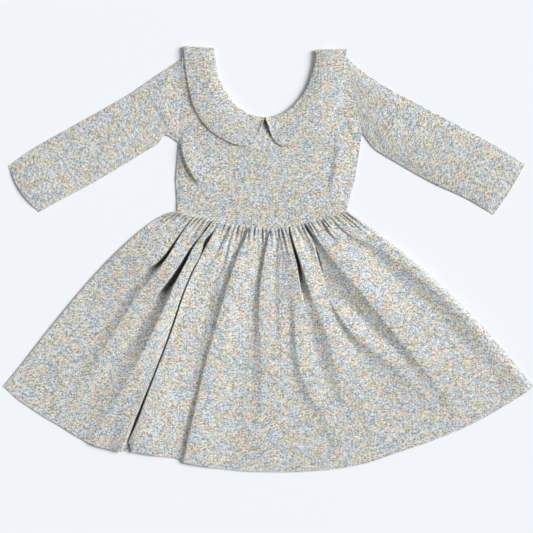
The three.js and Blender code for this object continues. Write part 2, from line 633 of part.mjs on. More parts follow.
// Sleeve: a tube pressed flat, open at the armhole and at the cuff.
function sleeve(name, colour, side) {
  const sections = SLEEVE_SECTIONS[side];
  const spline = (key) => new THREE.SplineCurve(sections.map((s) => new THREE.Vector2(...s[key])));
  const topEdge = spline("top");
  const lowEdge = spline("low");
  const mesh = new Mesh();
  const outward = side === "left" ? -1 : 1;
  const rings = [];
  for (let s = 0; s <= FINE.sleeveSections; s += 1) {
    const along = s / FINE.sleeveSections;
    const top = topEdge.getPoint(along).toArray();
    const low = lowEdge.getPoint(along).toArray();
    const width = Math.hypot(low[0] - top[0], low[1] - top[1]);
    const bow = CUFF_BOW[side] * smooth(CUFF_BOW.from, 1, along);
    const stand = mix(1, SLEEVE_LOFT.cuff, along) * smooth(SLEEVE_LOFT.start, SLEEVE_LOFT.full, along);
    const away = [(outward * (top[1] - low[1])) / width, -Math.abs(top[0] - low[0]) / width];
    const place = (inset, height) => {
      const [x, y] = mixPoint(top, low, inset / width);
      const bulge = bow * Math.sin(Math.PI * clamp01(inset / width));
      return [x + bulge * away[0], y + bulge * away[1], height];
    };
    const loft = (inset) => {
      const t = clamp01(inset / width);
      const [x, y] = place(inset, 0);
      const edges = smooth(0, EDGE_REACH, inset) * smooth(0, EDGE_REACH, width - inset);
      return SLEEVE_LOFT.height * Math.sin(Math.PI * t) * stand + edges * creaseHeight(x, y);
    };
    const insets = Array.from({ length: FINE.sleeveAcross }, (_, i) =>
      mix(RIM.flat, width - RIM.flat, i / (FINE.sleeveAcross - 1)),
    );
    const middle = LAYER - SEAM_GAP / 2;
    const ring = (lift, base, rim, round) => [
      place(rim, middle),
      place(rim + RIM.round, middle + round),
      ...insets.map((inset) => place(inset, LAYER + loft(inset) + lift)),
      place(width - rim - RIM.round, middle + round),
      place(width - rim, middle),
      place(width - rim - RIM.round, middle - round),
      ...[...insets].reverse().map((inset) => place(inset, base)),
      place(rim + RIM.round, middle - round),
    ];
    rings.push({
      outer: ring(WALL, 0, 0, WALL * RIM.fullness),
      inner: ring(0, WALL, WALL, SEAM_GAP / 2),
    });
  }
  const indices = rings.map((pair) => ({
    outer: pair.outer.map((p) => mesh.add(p)),
    inner: pair.inner.map((p) => mesh.add(p)),
  }));
  const count = indices[0].outer.length;
  const face = (a, b, c, d) => (side === "left" ? mesh.quad(d, c, b, a) : mesh.quad(a, b, c, d));
  for (let k = 0; k < count; k += 1) {
    const n = (k + 1) % count;
    for (let s = 0; s < indices.length - 1; s += 1) {
      const [here, next] = [indices[s], indices[s + 1]];
      face(here.outer[k], here.outer[n], next.outer[n], next.outer[k]);
      face(here.inner[n], here.inner[k], next.inner[k], next.inner[n]);
    }
    const first = indices[0];
    const cuff = indices[indices.length - 1];
    face(first.outer[n], first.outer[k], first.inner[k], first.inner[n]);
    face(cuff.outer[k], cuff.outer[n], cuff.inner[n], cuff.inner[k]);
  }
  return mesh.build(name, colour);
}

// The dress, with its origin on the surface under the middle of its outline.
const COTTON = "#c6c7c3";
const dress = new THREE.Group();
dress.name = "twirl_dress";
dress.add(
  bodiceBack(COTTON),
  bodiceFront(COTTON),
  skirtBack(COTTON),
  skirtFront(COTTON),
  sleeve("sleeve_left", COTTON, "left"),
  sleeve("sleeve_right", COTTON, "right"),
  collar("collar_left", COTTON, "left"),
  collar("collar_right", COTTON, "right"),
);
const outline = new THREE.Box3().setFromObject(dress);
const middle = outline.getCenter(new THREE.Vector3());
dress.position.set(-middle.x, -middle.y, -outline.min.z);

export default dress;
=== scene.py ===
# %% [markdown]
# # A child's twirl dress, laid flat
#
# The dress lies on its back on a pale surface: a fitted bodice, a two-leaf rounded collar, long sleeves
# and a full skirt, gathered into the waist and spread into a fan. Cloth this soft is all form and print,
# so two things carry the picture: sheets whose folds are worked out from short tables, and one printed
# cotton made of nodes. The solids of the dress come from the shared frame and stay where they are; each
# gets a fine shell here that follows the same formulas.

# %% Load the frame
import math

import bpy
import numpy as np
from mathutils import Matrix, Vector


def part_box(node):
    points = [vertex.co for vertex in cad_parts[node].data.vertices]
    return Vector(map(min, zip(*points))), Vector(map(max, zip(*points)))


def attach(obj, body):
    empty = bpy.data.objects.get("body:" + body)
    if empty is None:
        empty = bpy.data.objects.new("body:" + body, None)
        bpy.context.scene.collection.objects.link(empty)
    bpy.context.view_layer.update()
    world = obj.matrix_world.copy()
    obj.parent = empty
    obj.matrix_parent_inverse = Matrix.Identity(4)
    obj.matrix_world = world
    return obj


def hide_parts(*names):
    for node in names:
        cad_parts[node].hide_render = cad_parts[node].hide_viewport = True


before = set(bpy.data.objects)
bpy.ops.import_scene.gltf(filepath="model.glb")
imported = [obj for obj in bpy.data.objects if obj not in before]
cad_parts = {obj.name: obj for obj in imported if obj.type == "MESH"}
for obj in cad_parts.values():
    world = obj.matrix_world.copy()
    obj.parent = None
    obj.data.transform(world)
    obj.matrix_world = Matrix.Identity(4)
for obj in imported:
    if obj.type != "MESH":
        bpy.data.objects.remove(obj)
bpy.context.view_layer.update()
MM = 0.001
print("nodes:", sorted(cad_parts))

# %% [markdown]
# The pieces below are drafted from the middle of the photograph. The frame's own origin is under the
# middle of the outline, a fraction of a millimetre away. Each finished piece could be moved by itself,
# but one step for all of them can't go wrong: every point moves by the same amount when its mesh is
# made. Two known edges of the solids, the left cuff and the top of the left collar, tell how far.

# %% Where the draft lies in the frame
DRAFT_CUFF_X = -389.6
DRAFT_COLLAR_Y = 320.0
SHIFT = np.array([
    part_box("sleeve_left")[0].x / MM - DRAFT_CUFF_X,
    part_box("collar_left")[1].y / MM - DRAFT_COLLAR_Y,
    0,
])
print("the draft moves by", SHIFT.round(2), "mm")

# %% [markdown]
# The shells are drafted in millimetres, as a pattern cutter would, and scaled to metres when a mesh is
# made. A few small helpers do most of the shaping: a soft step, a table read with soft corners, and
# smooth noise for the small wrinkles that no table lists.

# %% Soft steps and tables
WALL = 1.2
SEAM_GAP = 0.3
LAYER = WALL + SEAM_GAP
print(f"each layer of the dress takes up {LAYER} mm of height")


def smooth(low, high, x):
    t = np.clip((np.asarray(x, float) - low) / (high - low), 0, 1)
    return t * t * (3 - 2 * t)


def mix(a, b, t):
    return a + (b - a) * t


def read_table(rows, x):
    """A table's value at x, eased between its rows."""
    xs, ys = np.array(rows, float).T
    i = np.clip(np.searchsorted(xs, x) - 1, 0, len(xs) - 2)
    return mix(ys[i], ys[i + 1], smooth(0, 1, (x - xs[i]) / (xs[i + 1] - xs[i])))


def read_curve(xs, ys, x):
    """A smooth curve through a table's rows."""
    slopes = np.gradient(ys, xs)
    i = np.clip(np.searchsorted(xs, x) - 1, 0, len(xs) - 2)
    step = xs[i + 1] - xs[i]
    t = np.clip((x - xs[i]) / step, 0, 1)
    from_here = (2 * t**3 - 3 * t**2 + 1) * ys[i] + (t**3 - 2 * t**2 + t) * slopes[i] * step
    to_next = (3 * t**2 - 2 * t**3) * ys[i + 1] + (t**3 - t**2) * slopes[i + 1] * step
    return from_here + to_next


# %% Creases and wrinkles
NOISE_CELLS = 97
NOISE_START = 40


def fold_shape(distance, steep, gentle):
    """A crease's section: a steep rise on one side of its line and a gentle fall on the other."""
    rise = smooth(-steep / 2, steep / 2, distance)
    return rise * (1 - smooth(steep / 2, steep / 2 + gentle, distance))


def soft_noise(x, y, size, seed):
    """Smooth random heights from -1 to 1, with bumps about size apart."""
    grid = np.random.default_rng(seed).uniform(-1, 1, (NOISE_CELLS, NOISE_CELLS))
    gx = np.asarray(x) / size + NOISE_START
    gy = np.asarray(y) / size + NOISE_START
    i, j = np.floor(gx).astype(int), np.floor(gy).astype(int)
    tx, ty = smooth(0, 1, gx - i), smooth(0, 1, gy - j)

    def at(a, b):
        return grid[(i + a) % NOISE_CELLS, (j + b) % NOISE_CELLS]

    return mix(mix(at(0, 0), at(1, 0), tx), mix(at(0, 1), at(1, 1), tx), ty)


def wrinkles(x, y, layers):
    """Small uneven wrinkles: layers of noise, each with a height, a size and a seed."""
    return sum(rise * soft_noise(x, y, size, seed) for rise, size, seed in layers)


# %% [markdown]
# A piece of cloth is a grid of points: rows by columns, with a cutting-table position for each point, so
# that the print keeps its size wherever the cloth bends. The grid could be drawn by hand or simulated,
# but a formula keeps every fold where the photograph has it. Solidify gives the grid its thickness
# afterwards, growing inwards, away from the face. The edges where the cloth ends are marked sharp, or
# the smooth shading would darken the last row of faces as if the cloth rounded away there.

# %% Turn a grid of points into cloth
SHELL = 0.5
LEAST_HEIGHT = SHELL + 0.1
CUT_PLACE = {
    # where each piece is cut from the printed cloth, in millimetres
    "skirt_front": (0, 0), "skirt_back": (900, 40), "bodice_front": (30, 420), "bodice_back": (520, 300),
    "collar_left": (100, 700), "collar_right": (500, 700), "sleeve_left": (1300, 100),
    "sleeve_right": (1700, 100),
}


def add_piece(name, mesh):
    piece = bpy.data.objects.new(name, mesh)
    bpy.context.scene.collection.objects.link(piece)
    return piece


def grid_quads(rows, across, wide, flip):
    """The corners of each face in a grid whose rows hold wide points; a tube's last face closes it."""
    r, c = np.meshgrid(np.arange(rows - 1), np.arange(across), indexing="ij")
    n = (c + 1) % wide
    quads = np.stack([r * wide + c, (r + 1) * wide + c, (r + 1) * wide + n, r * wide + n], -1)
    quads = quads.reshape(-1, 4)
    return quads[:, ::-1] if flip else quads


def close_cut(cut):
    """A tube's cut with one more column, a step past the last one, where the ring closes."""
    return np.concatenate([cut, 2 * cut[:, -1:] - cut[:, -2:-1]], 1)


def mark_raw_edges(mesh):
    edge_of_corner = np.zeros(len(mesh.loops), int)
    mesh.loops.foreach_get("edge_index", edge_of_corner)
    raw = np.bincount(edge_of_corner, minlength=len(mesh.edges)) == 1
    mesh.edges.foreach_set("use_edge_sharp", raw)


def cloth(node_name, points, cut, thickness=SHELL, tube=False, flip=False, shade=None):
    rows, columns = points.shape[:2]
    across = columns if tube else columns - 1
    name = f"{node_name}_cloth"
    mesh = bpy.data.meshes.new(name)
    quads = grid_quads(rows, across, columns, flip)
    mesh.from_pydata(((points.reshape(-1, 3) + SHIFT) * MM).tolist(), [], quads.tolist())
    cut = (close_cut(cut) if tube else cut) + CUT_PLACE[node_name]
    corners = grid_quads(rows, across, across + 1, flip).ravel()
    layer = mesh.uv_layers.new(name="cut")
    layer.data.foreach_set("uv", (cut.reshape(-1, 2)[corners] * MM).ravel().astype(np.float32))
    mesh.polygons.foreach_set("use_smooth", np.ones(len(mesh.polygons), bool))
    mark_raw_edges(mesh)
    if shade is not None:
        held = mesh.attributes.new("shade", "FLOAT", "POINT")
        held.data.foreach_set("value", shade.ravel().astype(np.float32))
    piece = add_piece(name, mesh)
    wall = piece.modifiers.new("cloth thickness", "SOLIDIFY")
    wall.thickness = thickness * MM
    wall.offset = -1
    wall.use_even_offset = False
    measured = np.zeros(len(mesh.polygons))
    mesh.polygons.foreach_get("area", measured)
    print(f"{name}: {len(quads)} faces a side, {measured.sum():.4f} square metres")
    return piece


# %% Helpers for edges and rows
ROLL_WIDTH = 1.7


def settle(distance, drop, width=16):
    """How far cloth sinks towards an edge that lies on what is under it."""
    return drop * (1 - smooth(0, width, distance))


def edge_roll(distance, drop, width=ROLL_WIDTH):
    """How far a rounded edge has dropped at a distance in from it."""
    t = np.clip(1 - distance / width, 0, 1)
    return drop * (1 - np.sqrt(1 - t * t))


def row_at(points, stations, place):
    """The points between two of a grid's rows, where a station has a given value."""
    i = np.searchsorted(stations, place) - 1
    return mix(points[i], points[i + 1], (place - stations[i]) / (stations[i + 1] - stations[i]))


def row_excess(points, flat):
    """How much more cloth lies along each row than the row is long in plan."""
    real = np.linalg.norm(np.diff(points, axis=1), axis=2)
    plan = np.linalg.norm(np.diff(flat, axis=1), axis=2)
    extra = np.concatenate([np.zeros((len(points), 1)), np.cumsum(real - plan, axis=1)], 1)
    middle = extra[:, extra.shape[1] // 2][:, None]
    along = np.gradient(flat, axis=1)
    along /= np.linalg.norm(along, axis=2, keepdims=True)
    return (extra - middle)[..., None] * along


# %% [markdown]
# ## The skirt's outline
#
# Laid out, the skirt is a fan between the sagging waist seam and a hem that is very nearly an arc. It
# could be traced as one outline, but two numbers that place any point, how far across it is and how far
# down, give the folds something to run along. The hem's small steps and the notch where a fold ends at
# it come from a short table.

# %% Waist, hem and sides of the fan
WAIST_LEFT, WAIST_RIGHT = np.array([-140.0, 71.0]), np.array([121.0, 71.0])
WAIST_SAG, WAIST_SKEW, WAIST_ROUND = 23.5, 1.15, 1.3
HEM_CENTRE_Y, HEM_RADIUS, HEM_HALF_ANGLE = 359.0, 677.5, math.radians(35.9)
HEM_LINE = [
    # how far across, how far the hem lies beyond its arc
    (0, 0), (0.04, 4), (0.11, 6), (0.19, 11), (0.235, 7), (0.27, -1), (0.335, -6), (0.352, -2),
    (0.48, 0), (0.66, 3), (0.74, -1), (0.9, 1), (1, 1),
]
NOTCH_AT, NOTCH_WIDE, NOTCH_DEEP = 0.247, 0.009, 16
LEFT_BOW, RIGHT_BOW, BOW_REACH = 68, 60, 2.5
LEFT_AWAY, RIGHT_AWAY = np.array([-0.7, 0.71]), np.array([0.69, 0.72])
SKIRT_LENGTH = 380


def waist_point(across):
    sag = np.maximum(np.sin(np.pi * np.clip(across, 0, 1) ** WAIST_SKEW), 0) ** WAIST_ROUND
    point = mix(WAIST_LEFT, WAIST_RIGHT, np.asarray(across)[..., None])
    point[..., 1] -= WAIST_SAG * sag
    return point


def skirt_point(across, down, beyond=0.0):
    angle = mix(-HEM_HALF_ANGLE, HEM_HALF_ANGLE, across)
    reach = HEM_RADIUS + beyond
    hem = np.stack([reach * np.sin(angle), HEM_CENTRE_Y - reach * np.cos(angle)], -1)
    point = mix(waist_point(across), hem, down[..., None])
    d = np.clip(down, 0, 1)
    left = LEFT_BOW * d**0.6 * (1 - d) ** 1.3 * (1 - across) ** BOW_REACH
    right = RIGHT_BOW * d * (1 - d) * across**BOW_REACH
    return point + left[..., None] * LEFT_AWAY + right[..., None] * RIGHT_AWAY


print(f"hem: {2 * HEM_HALF_ANGLE * HEM_RADIUS:.0f} mm, waist: {WAIST_RIGHT[0] - WAIST_LEFT[0]:.0f} mm across")

# %% [markdown]
# ## The folds
#
# A full skirt spread out by hand falls into a few deep folds that run from the waist and fade towards
# the hem, between many fine gathers at the seam. Looked at from above in a low light from the right, a
# fold is a dark flank on the left of its crest: steep and narrow high up, broad and soft lower down.
# Where two folds press together there is a slit between them, open down to the layer below. A cloth
# simulation would give folds of its own choosing, so each one is written down here instead, and the
# highest fold wins wherever two of them meet.

# %% Fold tables
FOLDS = {
    # name: gentle fall, lean, side, reach of the lip beyond the slit, the lip's share of the rise at
    # the waist, a quarter and half way down, and rows of: how far down, place across of the crest,
    # rise, width of the flank, width of the slit
    "left edge": (22, 0, 1, 20, (0, 0, 0), [
        (0, 0.062, 1.5, 2.5, 0), (0.05, 0.066, 2.5, 3, 0), (0.1, 0.065, 2, 3, 0), (0.18, 0.06, 0, 4, 0)]),
    "left second": (36, 0.25, 1, 80, (0.5, 0.55, 0.1), [
        (0, 0.136, 2, 2, 0.4), (0.08, 0.144, 4, 1.5, 0.8), (0.15, 0.149, 7, 1.5, 1.6),
        (0.2, 0.1515, 10, 1.5, 2.8), (0.25, 0.1495, 11, 4, 2.6), (0.3, 0.145, 10, 12, 0.9),
        (0.35, 0.139, 9, 16, 0.3), (0.42, 0.132, 8, 16, 0), (0.55, 0.128, 5.5, 16, 0),
        (0.7, 0.123, 3.5, 16, 0), (0.85, 0.12, 1.5, 15, 0), (1, 0.12, 0, 15, 0)]),
    "left deepest": (34, 0.25, 1, 40, (0.7, 0.85, 0.2), [
        (0, 0.237, 2, 1.5, 0.6), (0.04, 0.233, 4, 1.5, 1.2), (0.1, 0.2235, 5, 1.5, 0.5),
        (0.15, 0.218, 9, 1.5, 1.6), (0.2, 0.2185, 12, 1.5, 3.4), (0.25, 0.217, 13, 2, 4.6),
        (0.3, 0.216, 14, 5, 4.5), (0.36, 0.216, 15, 14, 1.2), (0.42, 0.215, 14.5, 19, 0.3),
        (0.5, 0.212, 13.5, 23, 0), (0.6, 0.208, 11, 27, 0), (0.7, 0.203, 8, 31, 0), (0.85, 0.192, 5, 28, 0),
        (1, 0.184, 3, 15, 0)]),
    "left flap": (34, 0, -1, 48, (0.7, 0.75, 0.9), [
        (0, 0.264, 2, 1.5, 0.3), (0.06, 0.259, 5, 1.5, 0.8), (0.11, 0.247, 8, 1.5, 4),
        (0.15, 0.254, 8, 1, 1.4), (0.25, 0.2505, 7, 1, 0.8), (0.35, 0.249, 6, 1, 0.8),
        (0.45, 0.2505, 6, 1, 1.2), (0.55, 0.2505, 6, 1, 1.2), (0.65, 0.2485, 6, 1, 1.2),
        (0.8, 0.2445, 7, 1, 2), (0.9, 0.2415, 7.5, 1, 3.4), (0.95, 0.241, 7, 1, 2.4),
        (1, 0.2405, 4, 1, 0)]),
    "short inner": (20, 0.1, 1, 20, (0, 0, 0), [
        (0, 0.33, 4, 3, 0), (0.05, 0.329, 4.4, 3.5, 0), (0.1, 0.325, 4.4, 5.5, 0), (0.15, 0.319, 3.8, 7, 0),
        (0.22, 0.311, 2.6, 8, 0), (0.3, 0.303, 1.4, 9, 0), (0.4, 0.3, 0, 8, 0)]),
    "short outer": (24, 0, 1, 20, (0, 0, 0), [
        (0, 0.352, 0.5, 3, 0), (0.1, 0.356, 3, 3.5, 0), (0.16, 0.359, 2.8, 6, 0), (0.25, 0.353, 2.2, 12, 0),
        (0.35, 0.349, 2.2, 13, 0), (0.5, 0.344, 2, 11, 0), (0.62, 0.341, 1.2, 10, 0),
        (0.75, 0.34, 0, 10, 0)]),
    "left of centre": (46, 0.1, 1, 20, (0, 0, 0), [
        (0, 0.431, 4, 3, 0), (0.05, 0.422, 5, 3, 0.3), (0.1, 0.407, 6.5, 5.5, 0.3),
        (0.15, 0.394, 7.5, 9, 0), (0.2, 0.388, 8, 11, 0), (0.3, 0.376, 8.5, 13, 0),
        (0.4, 0.368, 7.8, 14, 0), (0.5, 0.363, 6.8, 14, 0), (0.6, 0.356, 6, 9, 0), (0.7, 0.353, 5, 7, 0),
        (0.8, 0.351, 5.5, 7.5, 0), (0.93, 0.349, 6, 8, 0), (1, 0.349, 3, 8, 0)]),
    "centre": (42, 0.1, 1, 20, (0, 0, 0), [
        (0, 0.555, 3, 3, 0), (0.05, 0.532, 4, 3, 0.3), (0.1, 0.517, 4.8, 4.5, 0.3),
        (0.15, 0.507, 5.2, 6.5, 0), (0.2, 0.498, 5.2, 8, 0), (0.25, 0.492, 5.2, 9, 0),
        (0.3, 0.488, 5, 10, 0), (0.4, 0.486, 3.8, 11, 0), (0.5, 0.489, 3, 12, 0), (0.6, 0.491, 2.8, 15, 0),
        (0.75, 0.487, 1.6, 15, 0), (1, 0.48, 0, 14, 0)]),
    "centre faint": (24, 0, 1, 20, (0, 0, 0), [
        (0, 0.602, 2.4, 3, 0), (0.05, 0.589, 3, 3.5, 0), (0.1, 0.572, 3.4, 5, 0), (0.15, 0.566, 3.6, 9, 0),
        (0.2, 0.563, 3.6, 11, 0), (0.3, 0.551, 3.4, 12, 0), (0.4, 0.545, 2.6, 12, 0),
        (0.6, 0.54, 0.5, 10, 0), (0.7, 0.54, 0, 10, 0)]),
    "right gather": (20, 0, 1, 20, (0, 0, 0), [
        (0, 0.618, 3, 3, 0), (0.05, 0.622, 3.5, 4, 0), (0.1, 0.625, 3, 4.5, 0), (0.15, 0.627, 2, 4, 0),
        (0.2, 0.627, 1, 4, 0), (0.28, 0.625, 0, 4, 0)]),
    "right of centre": (34, 0, 1, 20, (0, 0, 0), [
        (0.15, 0.604, 0, 5, 0), (0.2, 0.601, 1.5, 7, 0), (0.3, 0.596, 3, 11, 0), (0.4, 0.587, 3.6, 11, 0),
        (0.5, 0.58, 3.8, 11, 0), (0.6, 0.582, 3.8, 14, 0), (0.7, 0.595, 3.2, 15, 0),
        (0.8, 0.618, 2.2, 18, 0), (0.9, 0.632, 1.2, 20, 0), (1, 0.64, 0.5, 20, 0)]),
    "right major": (34, 0.25, 1, 60, (0.7, 0.7, 0.1), [
        (0, 0.657, 2, 1.5, 0.4), (0.05, 0.6525, 5, 1.5, 1), (0.1, 0.653, 8, 1.5, 2),
        (0.15, 0.654, 9, 2, 2.6), (0.2, 0.655, 9, 5, 2), (0.25, 0.656, 8, 9, 1.1), (0.3, 0.658, 7, 13, 0.5),
        (0.35, 0.661, 6.5, 17, 0.1), (0.42, 0.664, 6, 20, 0), (0.5, 0.666, 5.4, 23, 0),
        (0.6, 0.664, 4.4, 22, 0), (0.7, 0.66, 2.6, 20, 0), (0.85, 0.66, 1, 20, 0), (1, 0.66, 0, 20, 0)]),
    "right major tail": (30, 0, 1, 20, (0, 0, 0), [
        (0.5, 0.676, 0, 12, 0), (0.6, 0.679, 0.8, 12, 0), (0.7, 0.684, 1.6, 13, 0),
        (0.8, 0.694, 1.6, 16, 0), (0.9, 0.704, 1.2, 18, 0), (1, 0.714, 0.6, 20, 0)]),
    "right strip": (26, 0, -1, 20, (0, 0.2, 0), [
        (0.05, 0.742, 0, 2, 0), (0.1, 0.737, 2.5, 1.5, 0.6), (0.15, 0.728, 4, 1.5, 1.4),
        (0.2, 0.721, 3, 1.5, 0.5), (0.3, 0.71, 2.5, 2, 0), (0.4, 0.704, 2, 2, 0), (0.5, 0.702, 1.5, 2, 0),
        (0.7, 0.7005, 1.2, 2, 0), (1, 0.701, 1, 2, 0)]),
    "diagonal": (30, 0, 1, 20, (0, 0, 0), [
        (0.28, 0.702, 0, 3, 0), (0.35, 0.709, 4, 6, 0), (0.4, 0.713, 5.5, 9, 0), (0.45, 0.721, 5.8, 12, 0),
        (0.5, 0.732, 5.4, 15, 0), (0.55, 0.748, 4.4, 17, 0), (0.6, 0.767, 3.8, 17, 0),
        (0.7, 0.793, 2.6, 15, 0), (0.8, 0.817, 1.6, 15, 0), (0.9, 0.832, 0.8, 14, 0), (1, 0.84, 0, 14, 0)]),
    "right deepest": (60, 0.1, 1, 40, (0.3, 0.3, 0), [
        (0, 0.752, 2, 2, 0.6), (0.04, 0.757, 4.5, 3, 1.8), (0.08, 0.763, 6, 5, 1),
        (0.12, 0.769, 7.5, 9, 0.3), (0.15, 0.773, 9, 13, 0), (0.2, 0.781, 11, 23, 0),
        (0.25, 0.791, 12.5, 32, 0), (0.3, 0.8, 12.5, 38, 0), (0.35, 0.807, 11, 33, 0),
        (0.4, 0.812, 9.5, 29, 0), (0.5, 0.821, 7.5, 24, 0), (0.6, 0.832, 6.5, 21, 0),
        (0.7, 0.84, 5.5, 20, 0), (0.8, 0.85, 3.6, 20, 0), (0.9, 0.855, 1.6, 20, 0),
        (1, 0.858, 0.6, 20, 0)]),
    "right upper": (40, 0, 1, 20, (0, 0, 0), [
        (0, 0.848, 3, 3, 0), (0.04, 0.837, 4, 3.5, 0.3), (0.08, 0.832, 3.6, 3.5, 0.3),
        (0.12, 0.842, 2.6, 6, 0), (0.18, 0.871, 2.2, 8, 0), (0.22, 0.879, 2.2, 8, 0), (0.3, 0.887, 1, 9, 0),
        (0.36, 0.89, 0, 9, 0)]),
    "right edge": (60, 0, 1, 20, (0, 0, 0), [
        (0, 0.88, 1, 2, 0), (0.04, 0.885, 2, 2, 0), (0.08, 0.895, 3, 3, 0), (0.12, 0.905, 3, 5, 0),
        (0.15, 0.923, 4, 12, 0), (0.2, 0.945, 5, 20, 0), (0.3, 0.962, 5.6, 26, 0), (0.4, 0.972, 5.6, 26, 0),
        (0.5, 0.978, 5.2, 22, 0), (0.6, 0.98, 5, 26, 0), (0.7, 0.98, 4.6, 28, 0), (0.85, 0.982, 3.2, 28, 0),
        (1, 0.984, 3, 28, 0)]),
}
print(len(FOLDS), "folds")

# %% [markdown]
# The waist seam takes up nearly twice its length of cloth. It is drawn up on a thread, so the puffs are
# uneven: each one here has its own height, its own shift along the seam and its own reach down the skirt,
# drawn at random from a fixed seed. The cloth between two puffs lies deep in a pleat and gets no light,
# so its shade is painted into the print's colour.

# %% Gathers at the waist
GATHERS = 46
GATHER_SEED = 11
GATHER_STAND, STAND_AT_LEFT = 3.2, 1.4
rng = np.random.default_rng(GATHER_SEED)
gather_reach = rng.uniform(0.02, 0.075, GATHERS + 1)
gather_height = rng.uniform(0.5, 1.2, GATHERS + 1)
gather_shift = rng.uniform(-0.3, 0.3, GATHERS + 1)


def gathers(across, down):
    """Uneven puffs that stand up at the seam, and the painted shade deep between them."""
    phase = across * GATHERS
    shifted = phase + np.interp(phase, np.arange(GATHERS + 1), gather_shift)
    index = np.clip(np.floor(shifted).astype(int), 0, GATHERS)
    wave = np.maximum(np.sin(np.pi * (shifted - index)), 0)
    wave = mix(wave**0.6, wave**1.4, smooth(0.01, 0.05, down))
    fade = np.exp(-((np.maximum(down - 0.02, 0) / gather_reach[index]) ** 1.2))
    # painted shade where the cloth lies deep between two puffs
    pleat_shade = gather_height[index] * fade**2 * (1 - wave) ** 1.5 * smooth(-0.001, 0.002, down)
    stand = GATHER_STAND * mix(STAND_AT_LEFT, 1, across) * gather_height[index]
    return stand * wave * fade * mix(0.5, 1, smooth(0, 0.015, down)), pleat_shade


print(GATHERS, "gathers, about", (SKIRT_LENGTH * gather_reach.mean()).round(1), "mm long")

# %% [markdown]
# Every fold adds its ridge to the sheet. Plain sums would pile up where folds cross, so a power picks out
# the highest one and still rounds the place where two meet. Real slits go deeper than this shell can,
# down to cloth that hardly any light reaches. So the shell also holds how deep in shade each point lies,
# and that shade is painted into the print: painted shade in the slits and between the gathers' puffs.

# %% The skirt's face
LOFT = [(0, 0), (0.12, 1.6), (0.4, 1.8), (0.75, 1), (0.96, 0.4), (1, 0.3)]
LEAST_FLANK = 1
OVERLAP = 3
SIDE_FADE, END_FADE = 0.16, 0.01
CREST_WIDTH = 9
DEEP_SLIT = 2.5


def off_the_sides(across, reach):
    """0 at either side of the fan, and 1 from a reach inwards."""
    return smooth(0, reach, across) * smooth(0, reach, 1 - across)


def fold_section(distance, fall, flank, slit, lip, reach):
    """A fold's height over its rise at a distance from its crest, and how open the slit beside it is."""
    up = np.clip(1 + distance / flank, 0, 1) ** 1.5
    ridge = up * (1 - smooth(0, 1, distance / fall))
    beyond = -(distance + flank + slit)
    beside = lip * (1 - smooth(0, 1, beyond / reach)) * (1 - up)
    slit_here = smooth(-0.8, 0.8, -beyond) * (1 - smooth(-1, 0, distance / flank))
    return ridge + beside, slit_here


def skirt_surface(across, down):
    """Height and sideways lean of the skirt's face, in millimetres, and how much painted shade it holds."""
    width = skirt_point(np.ones_like(down), down)[..., 0] - skirt_point(np.zeros_like(down), down)[..., 0]
    ends = off_the_sides(across, END_FADE)
    lean, above, closed, bright = (np.full(down.shape, v) for v in (0.0, 0.0, 1.0, 1.0))
    grown = mix(0.45, 1, smooth(0, 0.25, down)) * mix(1, 1.5, smooth(0.3, 1, down))
    for fall, tilt, side, reach, lips, rows in FOLDS.values():
        stations, *columns = np.array(rows).T
        place, rise, flank, slit = (read_curve(stations, column, down) for column in columns)
        rise, slit = np.maximum(rise, 0) * smooth(0, 0.02, down), np.maximum(slit, 0)
        flank = np.maximum(flank, LEAST_FLANK)
        lip = read_table([(0, lips[0]), (0.25, lips[1]), (0.5, lips[2])], down)
        distance = side * (across - place) * width - tilt * rise
        opened = slit + tilt * rise * smooth(0, 1, slit)
        section, slit_here = fold_section(distance, fall * grown, flank, opened, lip, reach * grown)
        above += (rise * section) ** OVERLAP
        closed *= 1 - slit_here * smooth(0, 1, slit)
        # painted shade: deep in a slit the print is darkened, because the shell cannot go deep enough to
        # shade it
        bright *= 1 - slit_here * smooth(0, DEEP_SLIT, slit)
        past_crest = np.maximum(distance / CREST_WIDTH, 0)
        lean -= side * tilt * rise * smooth(-1.5, 0, distance / flank) * np.exp(-past_crest**2)
    height = off_the_sides(across, SIDE_FADE) * read_table(LOFT, down) + ends * above ** (1 / OVERLAP)
    puffs, pleat_shade = gathers(across, down)
    # painted shade: the slits and the cloth between the puffs darken the print through this value
    shade = 1 - bright * (1 - np.clip(pleat_shade, 0, 1) * ends)
    return LAYER + WALL + closed * (height + ends * puffs), ends * lean, shade


# %% [markdown]
# The front panel is the face everyone sees, so it gets the densest grid. Its rows crowd towards the
# waist, where the gathers are, and its columns crowd towards the slits. At the sides the cloth rolls
# down to meet the back panel, and towards the hem it sinks onto it. The first row is tucked in under the
# edge of the bodice.

# %% A grid over the fan
SIDE_COLUMNS = np.array([0, 0.0006, 0.0014, 0.0026, 0.004])
WAIST_ROWS = [-0.004, 0, 0.0015, 0.003, 0.0045]
DENSER = [
    # place across, reach, how much denser the columns are
    (0.32, 0.05, 0.3), (0.5, 0.05, 0.3), (0.142, 0.012, 1.5), (0.21, 0.014, 1.8), (0.249, 0.008, 2.5),
    (0.648, 0.01, 1.8), (0.76, 0.02, 0.8),
]
DENSITY_STEPS = 4001
MIDDLE_START = 0.006
ROW_START, ROW_CROWDING, ROW_LIFT = 0.08, 1.5, 0.0166


def crowded(count, places):
    """Numbers from 0 to 1 that crowd together near some places, each with a reach and an amount."""
    fine = np.linspace(0, 1, DENSITY_STEPS)
    density = np.ones(len(fine))
    for place, reach, extra in places:
        density += extra * np.exp(-(((fine - place) / reach) ** 2))
    total = np.concatenate([[0], np.cumsum((density[1:] + density[:-1]) / 2)])
    return np.interp(np.linspace(0, total[-1], count), total, fine)


